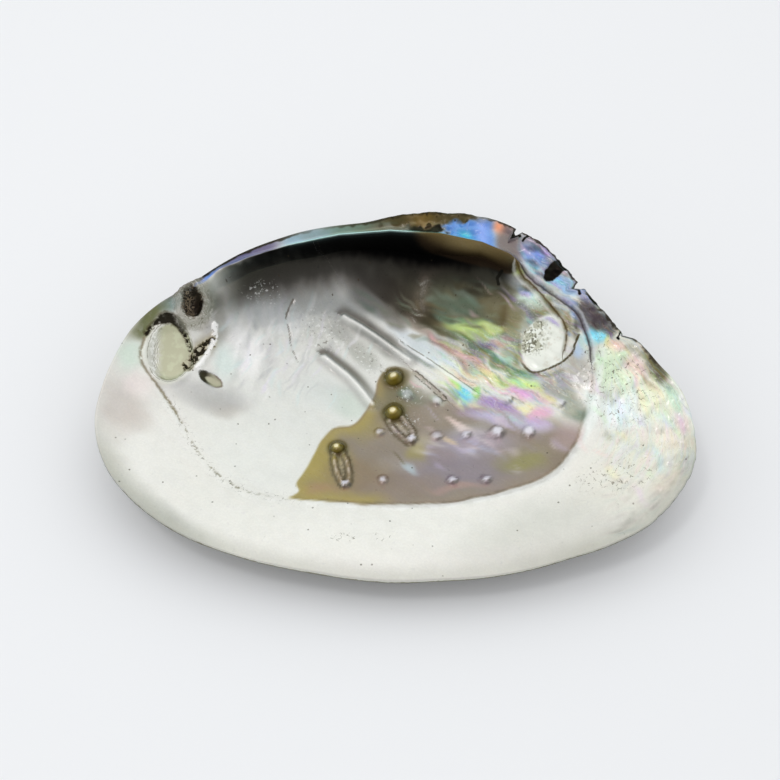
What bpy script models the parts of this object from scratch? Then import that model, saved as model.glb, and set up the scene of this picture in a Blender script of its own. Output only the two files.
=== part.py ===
"""One valve of a freshwater pearl mussel, lying hollow side up.

The shell is grown in one piece, so it is one solid: the bowl, the hinge with
its long tooth, the muscle scars, the blister pearls and the chipped wing are
all the same wall of shell.

The valve is first drawn in its own flat plane, the plane its rim lies in:
  a  runs along the shell, from the front end to the wing end
  b  runs across it, from the lower rim up to the hinge
  w  is the depth below the rim plane
All of these are in millimetres.  The finished valve is then leaned over to
the slope it rests at, and set down on the small flat worn at its lowest spot.
"""

import math

import bmesh
import bpy
import numpy as np

MM = 0.001

# ---- the rim, seen square on -------------------------------------------------
# Every part of the shell is measured outwards from this point in the bowl.
CENTRE = (-6.0, 8.0)

# Points along the rim: front end, hinge line, wing with its steps, wing end,
# lower rim.
RIM = [
    (-83.6, -8.0), (-82.2, 3.0), (-79.0, 12.5), (-74.7, 20.6),
    (-68.4, 27.8), (-60.8, 35.6), (-45.8, 46.6), (-31.7, 52.9),
    (-10.0, 57.4), (4.6, 60.6), (14.0, 61.1), (30.4, 58.6),
    (37.5, 55.2), (44.4, 48.7), (49.9, 41.5), (57.6, 32.4),
    (65.8, 21.0), (70.9, 17.0), (75.6, 10.3), (81.6, 1.5),
    (83.8, -10.0), (82.8, -20.0), (78.5, -27.5), (69.6, -36.8),
    (57.9, -43.0), (44.4, -47.4), (23.1, -52.0), (7.1, -53.0),
    (-19.2, -51.0), (-40.5, -46.4), (-62.7, -36.8), (-72.0, -29.5),
    (-79.5, -20.2),
]

# ---- the bowl ----------------------------------------------------------------
INSIDE_DEPTH = 21.5
OUTSIDE_DEPTH = 24.8
HINGEWARD_LEAN = 0.19
RIM_THICKNESS = 1.7
HINGE_RIM_EXTRA = 1.3
FRONT_RIM_EXTRA = 1.0
WING_RIM_THINNING = 0.6
RIM_ROUNDING = 0.35
HINGE_BULGE = 3.0

# ---- the hinge ---------------------------------------------------------------
# The crest of the long tooth, from the front of the hinge to its tip.
TOOTH_CREST = [
    (-62.0, 33.0), (-52.0, 40.4), (-43.5, 44.7), (-31.6, 49.0),
    (-16.4, 52.7), (-1.0, 54.2), (14.5, 53.0), (26.6, 50.0), (39.0, 43.8),
]
TOOTH_HEIGHT = 1.1
SHELF_DEPTH = 1.3
CAVE_REACH = 4.2

# ---- marks inside the bowl ---------------------------------------------------
# Blister pearls: place, radius, height.
PEARLS = [
    (0.5, 15.6, 3.0, 3.0),
    (1.1, 1.8, 3.0, 3.0),
    (-16.5, -10.0, 2.3, 2.3),
]
# Raised ridges: start, end, half width, height.
RIDGES = [
    ((-16.0, 35.0), (10.0, 14.6), 2.4, 1.4),
    ((-22.0, 23.5), (-5.5, 8.0), 2.4, 1.4),
    ((2.0, -1.0), (5.4, -8.0), 2.4, 1.2),
    ((-16.0, -12.0), (-13.8, -23.0), 2.3, 1.3),
]
# Muscle scars: centre, half length, half width, turn in degrees, depth.
FRONT_SCAR = (-66.6, 17.6, 9.2, 6.4, 72.0, 1.5)
REAR_SCAR = (46.0, 20.8, 8.2, 7.2, 20.0, 0.7)
FRONT_KNOB = (-57.6, 31.0, 4.4, 1.8)
LOWER_STEP = 0.7

# ---- chips broken out of the wing: place, turn in degrees, width, length -----
CHIPS = [
    (38.4, 53.6, 38.0, 1.6, 7.0),
    (47.6, 43.6, 40.0, 3.4, 5.0),
    (57.4, 33.2, 62.0, 2.2, 5.0),
]

# ---- how it lies -------------------------------------------------------------
RESTING_SLOPE = math.radians(12.0)
WORN_AWAY = 0.35 * MM

# ---- fineness of the surface -------------------------------------------------
COLUMNS = 46
ROWS = 40
SHELF_ROWS = 6
CREST_ROW = 1 - 2 * SHELF_ROWS / ROWS
ROW_CROWDING = 0.45
FINER_WITHIN = 2.2


def ease(x, start, end):
    """A soft step from 0 at start to 1 at end."""
    t = np.clip((x - start) / (end - start), 0.0, 1.0)
    return t * t * (3.0 - 2.0 * t)


def rim_distance(angle):
    """How far the rim lies from CENTRE in each direction."""
    knots = sorted(
        (
            math.atan2(b - CENTRE[1], a - CENTRE[0]) % math.tau,
            math.hypot(a - CENTRE[0], b - CENTRE[1]),
        )
        for a, b in RIM
    )
    at = np.array([knot[0] for knot in knots])
    far = np.array([knot[1] for knot in knots])
    at = np.concatenate((at[-2:] - math.tau, at, at[:3] + math.tau))
    far = np.concatenate((far[-2:], far, far[:3]))
    turn = np.mod(angle, math.tau)
    i = np.clip(np.searchsorted(at, turn, side="right") - 1, 1, len(at) - 3)
    span = at[i + 1] - at[i]
    t = (turn - at[i]) / span
    leave = (far[i + 1] - far[i - 1]) / (at[i + 1] - at[i - 1]) * span
    arrive = (far[i + 2] - far[i]) / (at[i + 2] - at[i]) * span
    return (
        (2 * t**3 - 3 * t**2 + 1) * far[i]
        + (t**3 - 2 * t**2 + t) * leave
        + (3 * t**2 - 2 * t**3) * far[i + 1]
        + (t**3 - t**2) * arrive
    )


def sides(angle):
    """How much each direction belongs to the hinge, the front and the wing."""
    degrees = np.degrees(np.mod(angle, math.tau))
    hinge = ease(degrees, 38, 75) * (1 - ease(degrees, 135, 185))
    front = ease(degrees, 140, 180) * (1 - ease(degrees, 195, 250))
    wing = ease(degrees, 0, 18) * (1 - ease(degrees, 45, 70))
    return hinge, front, wing


def bowl(reach, angle, gentle, wall, nose):
    """Depth of the bowl, 1 in the middle and 0 at the rim."""
    hinge, front, wing = sides(angle)
    depth = gentle + (wall - gentle) * hinge
    depth = depth + (nose - gentle) * front * (1 - hinge)
    flatter = 0.1 * ease(reach, 0.55, 0.95) * (1 - ease(reach, 0.97, 1.0))
    return depth - wing * flatter


def lean(reach, angle):
    """Extra depth towards the hinge, less towards the lower rim."""
    hinge = sides(angle)[0]
    across = reach * rim_distance(angle) * np.sin(angle)
    hollow = np.clip(1 - reach**2, 0, 1)
    return HINGEWARD_LEAN * across * hollow * (1 - 0.35 * hinge)


def inside_depth(reach, angle):
    depth = bowl(
        reach,
        angle,
        1 - 1.15 * reach**2 + 0.15 * reach**4,
        np.clip(1 - reach**3, 0, 1) ** 0.75,
        np.clip(1 - reach**2.2, 0, 1) ** 0.9,
    )
    return INSIDE_DEPTH * depth + lean(reach, angle)


def rim_thickness(angle):
    hinge, front, wing = sides(angle)
    extra = HINGE_RIM_EXTRA * hinge + FRONT_RIM_EXTRA * front
    return RIM_THICKNESS + extra - WING_RIM_THINNING * wing


def outside_depth(reach, angle):
    depth = bowl(
        reach,
        angle,
        1 - 1.05 * reach**2 + 0.05 * reach**4,
        np.clip(1 - reach**4, 0, 1) ** 0.5,
        np.clip(1 - reach**2.4, 0, 1) ** 0.8,
    )
    edge = rim_thickness(angle)
    return edge + (OUTSIDE_DEPTH - edge) * depth + lean(reach, angle)


def along_segment(a, b, start, end):
    """Distance from a line, and how far along it, 0 at start and 1 at end."""
    run = (end[0] - start[0], end[1] - start[1])
    length = math.hypot(*run)
    t = ((a - start[0]) * run[0] + (b - start[1]) * run[1]) / length**2
    t = np.clip(t, 0, 1)
    gap = np.hypot(a - start[0] - t * run[0], b - start[1] - t * run[1])
    return gap, t


def in_oval(a, b, oval):
    """0 at the middle of an oval, 1 on its edge."""
    turn = math.radians(oval[4])
    da = a - oval[0]
    db = b - oval[1]
    along = da * math.cos(turn) + db * math.sin(turn)
    across = db * math.cos(turn) - da * math.sin(turn)
    return np.hypot(along / oval[2], across / oval[3])


def raised_marks(a, b):
    """Pearls, ridges, scars and the knob: height above the plain bowl."""
    height = np.zeros_like(a)
    for at_a, at_b, radius, tall in PEARLS:
        gap = np.hypot(a - at_a, b - at_b) / radius
        dome = np.sqrt(np.clip(1 - gap**2, 0, 1))
        height = np.maximum(height, tall * dome)
    for start, end, half, tall in RIDGES:
        gap, _ = along_segment(a, b, start, end)
        height = np.maximum(height, tall * (1 - ease(gap, 0, half)))
    for scar in (FRONT_SCAR, REAR_SCAR):
        height -= scar[5] * (1 - ease(in_oval(a, b, scar), 0.82, 1.05))
    gap = np.hypot(a - FRONT_KNOB[0], b - FRONT_KNOB[1]) / FRONT_KNOB[2]
    ring = np.exp(-((gap - 0.6) / 0.4) ** 2)
    return height + FRONT_KNOB[3] * ring * (1 - ease(gap, 0.9, 1.4))


def gap_to_marks(a, b):
    """Distance to the nearest pearl, ridge, knob or scar edge."""
    gap = np.hypot(a - FRONT_KNOB[0], b - FRONT_KNOB[1]) - FRONT_KNOB[2]
    for at_a, at_b, radius, _ in PEARLS:
        gap = np.minimum(gap, np.hypot(a - at_a, b - at_b) - radius)
    for start, end, half, _ in RIDGES:
        gap = np.minimum(gap, along_segment(a, b, start, end)[0] - half)
    edge = np.abs(in_oval(a, b, FRONT_SCAR) - 0.93) * FRONT_SCAR[3]
    return np.minimum(gap, edge - 0.5)


def inside_surface(reach, angle):
    """The hollow side: bowl, hinge shelf, long tooth and the cave under it."""
    a, b = plan(reach, angle)
    w = inside_depth(reach, angle)

    crest = np.interp(a, [p[0] for p in TOOTH_CREST], [p[1] for p in TOOTH_CREST])
    below = crest - b
    hinge_run = ease(a, -62, -50) * (1 - ease(a, 34, 42))
    shelf = SHELF_DEPTH * ease(1 - reach, 0.0, 0.05)
    shelf = shelf - (SHELF_DEPTH + TOOTH_HEIGHT) * np.exp(-((below - 0.2) / 1.3) ** 2)
    into_bowl = ease(below, 0.4, 3.0)
    hinge_depth = shelf + (w - shelf) * into_bowl
    w = w + (hinge_depth - w) * hinge_run

    cave_run = ease(a, -58, -38) * (1 - ease(a, 26, 38))
    cave = ease(below, 0.9, 3.2) * (1 - ease(below, 4.0, 15.0))
    height = raised_marks(a, b)
    step = LOWER_STEP * ease(reach, 0.70, 0.76) * (1 - ease(reach, 0.80, 0.97))
    lower = 1 - ease(np.sin(angle), 0.0, 0.35)
    return a, b + CAVE_REACH * cave * cave_run, w - height - step * lower


def outside_surface(reach, angle):
    """The back of the shell, bulging a little past the hinge."""
    hinge = sides(angle)[0]
    bulge = HINGE_BULGE * hinge * ease(1 - reach, 0, 0.12) * ease(reach, 0.3, 0.9)
    far = reach * rim_distance(angle) + bulge
    a = CENTRE[0] + far * np.cos(angle)
    b = CENTRE[1] + far * np.sin(angle)
    return a, b, outside_depth(reach, angle)


def plan(reach, angle):
    """Place in the rim plane."""
    far = reach * rim_distance(angle)
    return CENTRE[0] + far * np.cos(angle), CENTRE[1] + far * np.sin(angle)


def round_off(u, v):
    """Round a square grid into a disc."""
    x = u * np.sqrt(1 - v**2 / 2)
    y = v * np.sqrt(1 - u**2 / 2)
    return np.clip(np.hypot(x, y), 0, 1), np.arctan2(y, x)


def crest_row(u):
    """The height up the square at which each column crosses the long tooth."""
    columns, back = np.unique(np.round(u, 9), return_inverse=True)
    heights = np.linspace(0.3, 1.0, 141)
    across, up = np.meshgrid(columns, heights)
    a, b = plan(*round_off(across, up))
    below = np.interp(a, [p[0] for p in TOOTH_CREST], [p[1] for p in TOOTH_CREST]) - b
    first = np.argmax(below < 0, axis=0)
    rows = np.arange(len(columns))
    over = below[first, rows]
    under = below[first - 1, rows]
    crossing = heights[first - 1] + (heights[1] - heights[0]) * under / (under - over)
    on_tooth = ease(columns, -0.95, -0.75) * (1 - ease(columns, 0.6, 0.8))
    crossing = np.where(first > 0, crossing, CREST_ROW)
    return (CREST_ROW + (crossing - CREST_ROW) * on_tooth)[back]


def square_to_reach(u, v):
    """Lay the square on the valve with one row of points along the tooth."""
    crossing = crest_row(u)
    above = crossing + (1 - crossing) * (v - CREST_ROW) / (1 - CREST_ROW)
    part = np.clip((v + 1) / (CREST_ROW + 1), 0, 1)
    part = part + ROW_CROWDING * part * (1 - part)
    under = (crossing + 1) * part - 1
    return round_off(u, np.where(v > CREST_ROW, above, under))


def lay_on(verts, surface):
    """Move the flat grid's points onto one side of the shell."""
    u = np.array([vert.co.x for vert in verts])
    v = np.array([vert.co.y for vert in verts])
    a, b, w = surface(*square_to_reach(u, v))
    for vert, at in zip(verts, np.column_stack((a, b, -w)) * MM):
        vert.co = at


def lean_over(verts):
    """Tip the valve to its resting slope, lower rim down."""
    cosine = math.cos(RESTING_SLOPE)
    sine = math.sin(RESTING_SLOPE)
    for vert in verts:
        y = vert.co.y
        z = vert.co.z
        vert.co.y = y * cosine - z * sine
        vert.co.z = y * sine + z * cosine


def grow_shell():
    """Both sides of the valve, closed round the rim, as one mesh."""
    bm = bmesh.new()
    bmesh.ops.create_grid(bm, x_segments=COLUMNS, y_segments=ROWS, size=1)
    finer = []
    for edge in bm.edges:
        u = np.array([end.co.x for end in edge.verts])
        v = np.array([end.co.y for end in edge.verts])
        a, b = plan(*square_to_reach(u, v))
        if np.all(gap_to_marks(a, b) < FINER_WITHIN):
            finer.append(edge)
    bmesh.ops.subdivide_edges(bm, edges=finer, cuts=2, use_grid_fill=True)
    inner = list(bm.verts)
    inner_rim = [edge for edge in bm.edges if edge.is_boundary]
    outer = bmesh.ops.create_grid(bm, x_segments=COLUMNS, y_segments=ROWS, size=1)["verts"]
    known = set(inner_rim)
    outer_rim = [edge for edge in bm.edges if edge.is_boundary and edge not in known]
    lay_on(inner, inside_surface)
    lay_on(outer, outside_surface)

    bmesh.ops.bridge_loops(bm, edges=inner_rim + outer_rim)
    inner_set = set(inner)
    outer_set = set(outer)
    links = [
        edge
        for edge in bm.edges
        if (edge.verts[0] in inner_set and edge.verts[1] in outer_set)
        or (edge.verts[1] in inner_set and edge.verts[0] in outer_set)
    ]
    cut = bmesh.ops.subdivide_edges(bm, edges=links, cuts=1)
    middle = {item for item in cut["geom_inner"] if isinstance(item, bmesh.types.BMVert)}
    for vert in middle:
        out_a = vert.co.x - CENTRE[0] * MM
        out_b = vert.co.y - CENTRE[1] * MM
        size = math.hypot(out_a, out_b)
        vert.co.x += RIM_ROUNDING * MM * out_a / size
        vert.co.y += RIM_ROUNDING * MM * out_b / size
    return bm


def chip_cutter(number, chip):
    """A three-sided wedge that takes one chip out of the wing."""
    at_a, at_b, turn, width, length = chip
    bm = bmesh.new()
    bmesh.ops.create_cone(
        bm, cap_ends=True, segments=3, radius1=1.0, radius2=1.0, depth=14.0 * MM
    )
    angle = math.radians(turn)
    for vert in bm.verts:
        along = vert.co.y * length * 0.5 * MM
        across = vert.co.x * width * 0.6 * MM
        vert.co.x = at_a * MM + along * math.cos(angle) - across * math.sin(angle)
        vert.co.y = at_b * MM + along * math.sin(angle) + across * math.cos(angle)
    bm.normal_update()
    bmesh.ops.recalc_face_normals(bm, faces=bm.faces)
    lean_over(bm.verts)
    mesh = bpy.data.meshes.new(f"chip_{number}")
    bm.to_mesh(mesh)
    bm.free()
    cutter = bpy.data.objects.new(f"chip_{number}", mesh)
    bpy.context.scene.collection.objects.link(cutter)
    cutter.hide_render = True
    cutter.display_type = "WIRE"
    return cutter


def wear_flat(bm):
    """Grind the lowest spot flat and close it with one level face."""
    floor = min(vert.co.z for vert in bm.verts) + WORN_AWAY
    everything = list(bm.verts) + list(bm.edges) + list(bm.faces)
    bmesh.ops.bisect_plane(
        bm,
        geom=everything,
        dist=1e-7,
        plane_co=(0, 0, floor),
        plane_no=(0, 0, -1),
        clear_outer=True,
    )
    open_edges = [edge for edge in bm.edges if edge.is_boundary]
    bmesh.ops.holes_fill(bm, edges=open_edges, sides=0)
    return floor


def set_down(bm, floor):
    """Put the worn flat on the ground with the shell centred over the origin."""
    xs = [vert.co.x for vert in bm.verts]
    ys = [vert.co.y for vert in bm.verts]
    shift = ((min(xs) + max(xs)) / 2, (min(ys) + max(ys)) / 2, floor)
    for vert in bm.verts:
        vert.co.x -= shift[0]
        vert.co.y -= shift[1]
        vert.co.z -= shift[2]
    return shift


def nacre_material():
    material = bpy.data.materials.new("nacre")
    material.use_nodes = True
    surface = material.node_tree.nodes["Principled BSDF"]
    surface.inputs["Base Color"].default_value = (0.82, 0.80, 0.75, 1.0)
    surface.inputs["Roughness"].default_value = 0.28
    surface.inputs["Metallic"].default_value = 0.0
    return material


for old in list(bpy.data.objects):
    bpy.data.objects.remove(old, do_unlink=True)

body = grow_shell()
lean_over(body.verts)
floor_level = wear_flat(body)
offset = set_down(body, floor_level)
body.normal_update()
bmesh.ops.recalc_face_normals(body, faces=body.faces)
for face in body.faces:
    face.smooth = True
shell_mesh = bpy.data.meshes.new("shell_valve")
body.to_mesh(shell_mesh)
body.free()
shell = bpy.data.objects.new("shell_valve", shell_mesh)
bpy.context.scene.collection.objects.link(shell)
shell.data.materials.append(nacre_material())

for index, chip in enumerate(CHIPS):
    cutter = chip_cutter(index + 1, chip)
    for vertex in cutter.data.vertices:
        vertex.co.x -= offset[0]
        vertex.co.y -= offset[1]
        vertex.co.z -= offset[2]
    cut = shell.modifiers.new(f"chip_{index + 1}", "BOOLEAN")
    cut.operation = "DIFFERENCE"
    cut.solver = "EXACT"
    cut.object = cutter
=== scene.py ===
# %% [markdown]
# # A mussel valve lying hollow side up
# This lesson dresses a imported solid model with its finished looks.  The solid
# is one half of a freshwater pearl mussel: a thin bowl of shell, lined with
# mother-of-pearl, with a long hinge tooth along one side.  A shell is grown
# in one piece, so here too it is one mesh, much finer than the solid.

# %% Load the solid and note its size
import math
import random
from types import SimpleNamespace

import bmesh
import bpy
import numpy as np
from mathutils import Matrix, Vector, noise


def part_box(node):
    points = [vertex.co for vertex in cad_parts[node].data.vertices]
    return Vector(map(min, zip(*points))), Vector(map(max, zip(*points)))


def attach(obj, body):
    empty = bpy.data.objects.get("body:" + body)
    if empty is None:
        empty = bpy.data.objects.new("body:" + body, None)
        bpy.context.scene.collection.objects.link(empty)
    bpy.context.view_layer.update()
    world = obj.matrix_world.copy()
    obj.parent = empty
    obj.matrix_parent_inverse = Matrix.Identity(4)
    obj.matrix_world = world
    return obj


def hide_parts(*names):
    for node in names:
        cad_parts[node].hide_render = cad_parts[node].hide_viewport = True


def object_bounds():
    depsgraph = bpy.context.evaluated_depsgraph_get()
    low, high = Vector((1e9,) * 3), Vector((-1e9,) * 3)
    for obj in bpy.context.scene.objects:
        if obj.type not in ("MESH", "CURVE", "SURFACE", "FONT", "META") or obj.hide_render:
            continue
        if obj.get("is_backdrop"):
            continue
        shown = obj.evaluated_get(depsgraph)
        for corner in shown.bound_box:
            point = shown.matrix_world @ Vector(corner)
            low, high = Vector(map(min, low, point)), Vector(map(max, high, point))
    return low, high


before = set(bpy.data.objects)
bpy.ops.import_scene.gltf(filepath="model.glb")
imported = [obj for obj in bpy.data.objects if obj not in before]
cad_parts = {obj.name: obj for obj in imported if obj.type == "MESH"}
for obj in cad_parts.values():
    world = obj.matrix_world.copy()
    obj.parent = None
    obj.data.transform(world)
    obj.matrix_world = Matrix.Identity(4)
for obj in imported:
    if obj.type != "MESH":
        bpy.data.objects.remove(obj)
size_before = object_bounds()
MM = 0.001
solid_low, solid_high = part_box("shell_valve")
print("solid, mm:", [round((high - low) / MM, 1) for low, high in zip(solid_low, solid_high)])

# %% [markdown]
# ## Camera
# The valve is seen from its lower rim, looking down at a little over fifty
# degrees.  A normal 50 mm lens about a third of a metre away gives the gentle
# perspective of a hand-held picture of something this size.

# %% Camera
AIM = Vector((-1.1, 5.4, 12.0)) * MM
CAMERA_RISE = math.radians(54.0)
CAMERA_DISTANCE = 320.4 * MM


def make_camera():
    """A camera that looks at AIM from the lower-rim side."""
    data = bpy.data.cameras.new("camera")
    data.lens = 50.0
    data.clip_start = 0.01
    camera = bpy.data.objects.new("camera", data)
    bpy.context.scene.collection.objects.link(camera)
    back = Vector((0, -math.cos(CAMERA_RISE), math.sin(CAMERA_RISE)))
    camera.location = AIM + back * CAMERA_DISTANCE
    camera.rotation_euler = (math.pi / 2 - CAMERA_RISE, 0, 0)
    bpy.context.scene.camera = camera
    return camera


camera = make_camera()
bpy.context.scene.view_settings.view_transform = "Standard"
print("camera height, mm:", round(camera.location.z / MM, 1))

# %% [markdown]
# ## The plan of the valve
# Shell makers think of a valve in the plane of its rim: `a` runs along it,
# `b` runs across it towards the hinge, and depth is measured down from that
# plane.  A handful of points round the rim, joined by a smooth curve, fix the
# outline.  Everything else is measured outwards from one point in the bowl,
# which is how the shell itself grows: outwards, a rim at a time.

# %% The rim
CENTRE = (-6.0, 8.0)
RIM = [
    (-83.6, -8.0), (-82.7, 3.1), (-79.9, 13.0), (-75.9, 21.6),
    (-69.6, 28.9), (-60.6, 35.5), (-45.8, 46.6), (-31.7, 52.9),
    (-10.0, 57.4), (4.6, 60.6), (14.0, 61.1), (30.4, 58.6),
    (37.5, 55.2), (45.5, 49.6), (51.0, 42.4), (57.6, 32.4),
    (65.8, 21.0), (70.9, 17.0), (75.6, 10.3), (81.6, 1.5),
    (83.8, -10.0), (82.8, -20.0), (78.5, -27.5), (69.6, -36.8),
    (57.9, -43.0), (44.4, -47.4), (23.1, -52.0), (7.1, -53.0),
    (-19.2, -51.0), (-40.5, -46.4), (-62.7, -36.8), (-72.0, -29.5),
    (-79.5, -20.2),
]


def ease(x, start, end):
    """A soft step from 0 at start to 1 at end."""
    t = np.clip((x - start) / (end - start), 0.0, 1.0)
    return t * t * (3.0 - 2.0 * t)


def hump(x, middle, width):
    """A soft bump, 1 at the middle."""
    return np.exp(-(((x - middle) / width) ** 2))


def grain(a, b, size, seed, detail=2):
    """Smooth random height from -1 to 1, with lumps about size mm across."""
    rough = np.empty(len(a))
    for i, (x, y) in enumerate(zip(a / size, b / size)):
        rough[i] = noise.fractal((x, y, seed * 7.3), 0.6, 2.0, detail)
    return np.clip(rough * 1.4, -1, 1)


def rim_distance(angle):
    """How far the rim lies from CENTRE in each direction."""
    out = [(a - CENTRE[0], b - CENTRE[1]) for a, b in RIM]
    knots = sorted((math.atan2(b, a) % math.tau, math.hypot(a, b)) for a, b in out)
    at, far = np.array(knots).T
    at = np.concatenate((at[-2:] - math.tau, at, at[:3] + math.tau))
    far = np.concatenate((far[-2:], far, far[:3]))
    turn = np.mod(angle, math.tau)
    i = np.clip(np.searchsorted(at, turn, side="right") - 1, 1, len(at) - 3)
    span = at[i + 1] - at[i]
    t = (turn - at[i]) / span
    leave = (far[i + 1] - far[i - 1]) / (at[i + 1] - at[i - 1]) * span
    arrive = (far[i + 2] - far[i]) / (at[i + 2] - at[i]) * span
    bend_in = (t**3 - 2 * t**2 + t) * leave + (t**3 - t**2) * arrive
    return (2 * t**3 - 3 * t**2 + 1) * far[i] + (3 * t**2 - 2 * t**3) * far[i + 1] + bend_in


def plan(reach, angle):
    """Place in the rim plane: reach is 0 at CENTRE and 1 at the rim."""
    far = reach * rim_distance(angle)
    return CENTRE[0] + far * np.cos(angle), CENTRE[1] + far * np.sin(angle)


print("rim points:", len(RIM))

# %% [markdown]
# ## The bowl
# In a mussel the wall drops steeply behind the hinge, rises gently to the
# lower rim and lies almost flat in the wing.  So the depth is a blend of
# three profiles, chosen by direction.  The outside follows the same plan a
# few millimetres deeper, which leaves a wall between the two.

# %% Depth inside and outside
INSIDE_DEPTH = 21.5
OUTSIDE_DEPTH = 24.8
HINGEWARD_LEAN = 0.19
RIM_THICKNESS = 1.7
HINGE_RIM_EXTRA = 1.3
FRONT_RIM_EXTRA = 1.0
WING_RIM_THINNING = 0.6
RIM_ROUNDING = 0.35
HINGE_BULGE = 3.0
RESTING_SLOPE = math.radians(12.0)
WORN_AWAY = 0.35


def sides(angle):
    """How much each direction belongs to the hinge, the front and the wing."""
    degrees = np.degrees(np.mod(angle, math.tau))
    hinge = ease(degrees, 38, 75) * (1 - ease(degrees, 135, 185))
    front = ease(degrees, 140, 180) * (1 - ease(degrees, 195, 250))
    wing = ease(degrees, 0, 18) * (1 - ease(degrees, 45, 70))
    return hinge, front, wing


def bowl(reach, angle, gentle, wall, nose):
    """Depth of the bowl, 1 in the middle and 0 at the rim."""
    hinge, front, wing = sides(angle)
    depth = gentle + (wall - gentle) * hinge
    depth = depth + (nose - gentle) * front * (1 - hinge)
    flatter = 0.1 * ease(reach, 0.55, 0.95) * (1 - ease(reach, 0.97, 1.0))
    return depth - wing * flatter


def lean(reach, angle):
    """Extra depth towards the hinge, less towards the lower rim."""
    across = reach * rim_distance(angle) * np.sin(angle)
    hollow = np.clip(1 - reach**2, 0, 1)
    return HINGEWARD_LEAN * across * hollow * (1 - 0.35 * sides(angle)[0])


def inside_depth(reach, angle):
    gentle = 1 - 1.15 * reach**2 + 0.15 * reach**4
    wall = np.clip(1 - reach**3, 0, 1) ** 0.75
    nose = np.clip(1 - reach**2.2, 0, 1) ** 0.9
    return INSIDE_DEPTH * bowl(reach, angle, gentle, wall, nose) + lean(reach, angle)


def rim_thickness(angle):
    hinge, front, wing = sides(angle)
    extra = HINGE_RIM_EXTRA * hinge + FRONT_RIM_EXTRA * front
    return RIM_THICKNESS + extra - WING_RIM_THINNING * wing


def outside_depth(reach, angle):
    gentle = 1 - 1.05 * reach**2 + 0.05 * reach**4
    wall = np.clip(1 - reach**4, 0, 1) ** 0.5
    nose = np.clip(1 - reach**2.4, 0, 1) ** 0.8
    edge = rim_thickness(angle)
    return edge + (OUTSIDE_DEPTH - edge) * bowl(reach, angle, gentle, wall, nose) + lean(reach, angle)


print("wall under the middle, mm:", round(OUTSIDE_DEPTH - INSIDE_DEPTH, 1))

# %% [markdown]
# ## Marks on the inside
# Muscles, the mantle and seeded pearls all leave marks in mother-of-pearl.
# Each mark is kept as a short list of places on the plan, in millimetres: a
# line for a crease, an oval for a scar, a point for a pearl.  A helper then
# measures how far every point of the surface lies from such a line and on
# which side of it, and the height follows from that distance.

# %% Distance helpers
def trace(a, b, line):
    """Distance to a line of points, its side (+1 left of travel) and the length along it."""
    best = np.full(a.shape, 1e9)
    side = np.ones(a.shape)
    along = np.zeros(a.shape)
    walked = 0.0
    for (a0, b0), (a1, b1) in zip(line[:-1], line[1:]):
        run_a, run_b = a1 - a0, b1 - b0
        length = math.hypot(run_a, run_b)
        t = np.clip(((a - a0) * run_a + (b - b0) * run_b) / length**2, 0, 1)
        gap = np.hypot(a - a0 - t * run_a, b - b0 - t * run_b)
        nearer = gap < best
        best = np.where(nearer, gap, best)
        turn = run_a * (b - b0) - run_b * (a - a0)
        side = np.where(nearer, np.where(turn >= 0, 1.0, -1.0), side)
        along = np.where(nearer, walked + t * length, along)
        walked += length
    return best, side, along


def smooth_line(points, cuts=6):
    """The same line rounded through its points."""
    points = [points[0]] + list(points) + [points[-1]]
    line = []
    for p0, p1, p2, p3 in zip(points, points[1:], points[2:], points[3:]):
        for step in range(cuts):
            t = step / cuts
            line.append(tuple(
                0.5 * (2 * c1 + (c2 - c0) * t + (2 * c0 - 5 * c1 + 4 * c2 - c3) * t * t
                       + (3 * c1 - c0 - 3 * c2 + c3) * t**3)
                for c0, c1, c2, c3 in zip(p0, p1, p2, p3)))
    return line + [points[-1]]


def signed_gap(a, b, line):
    """Distance to a line, positive on its left."""
    gap, side, _ = trace(a, b, line)
    return gap * side


def inside_of(a, b, ring):
    """Distance to a closed ring of points, positive inside it."""
    gap, _, _ = trace(a, b, list(ring) + [ring[0]])
    within = np.zeros(a.shape, bool)
    for (a0, b0), (a1, b1) in zip(ring, list(ring[1:]) + [ring[0]]):
        spans = (b0 > b) != (b1 > b)
        cross = a0 + (b - b0) * (a1 - a0) / (b1 - b0 if b1 != b0 else 1e-9)
        within ^= spans & (a < cross)
    return np.where(within, gap, -gap)


def in_oval(a, b, oval):
    """0 at the middle of an oval, 1 on its edge.  An oval is (a, b, long, short, turn)."""
    turn = math.radians(oval[4])
    da = a - oval[0]
    db = b - oval[1]
    along = da * math.cos(turn) + db * math.sin(turn)
    across = db * math.cos(turn) - da * math.sin(turn)
    return np.hypot(along / oval[2], across / oval[3])


# %% [markdown]
# ## Where the marks are
# The long tooth of the hinge, the line where the mantle was attached, the two
# muscle scars, the folds of the wing, three golden blister pearls with the
# tails of shell that trail from them, and rows of smaller beads.

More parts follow.
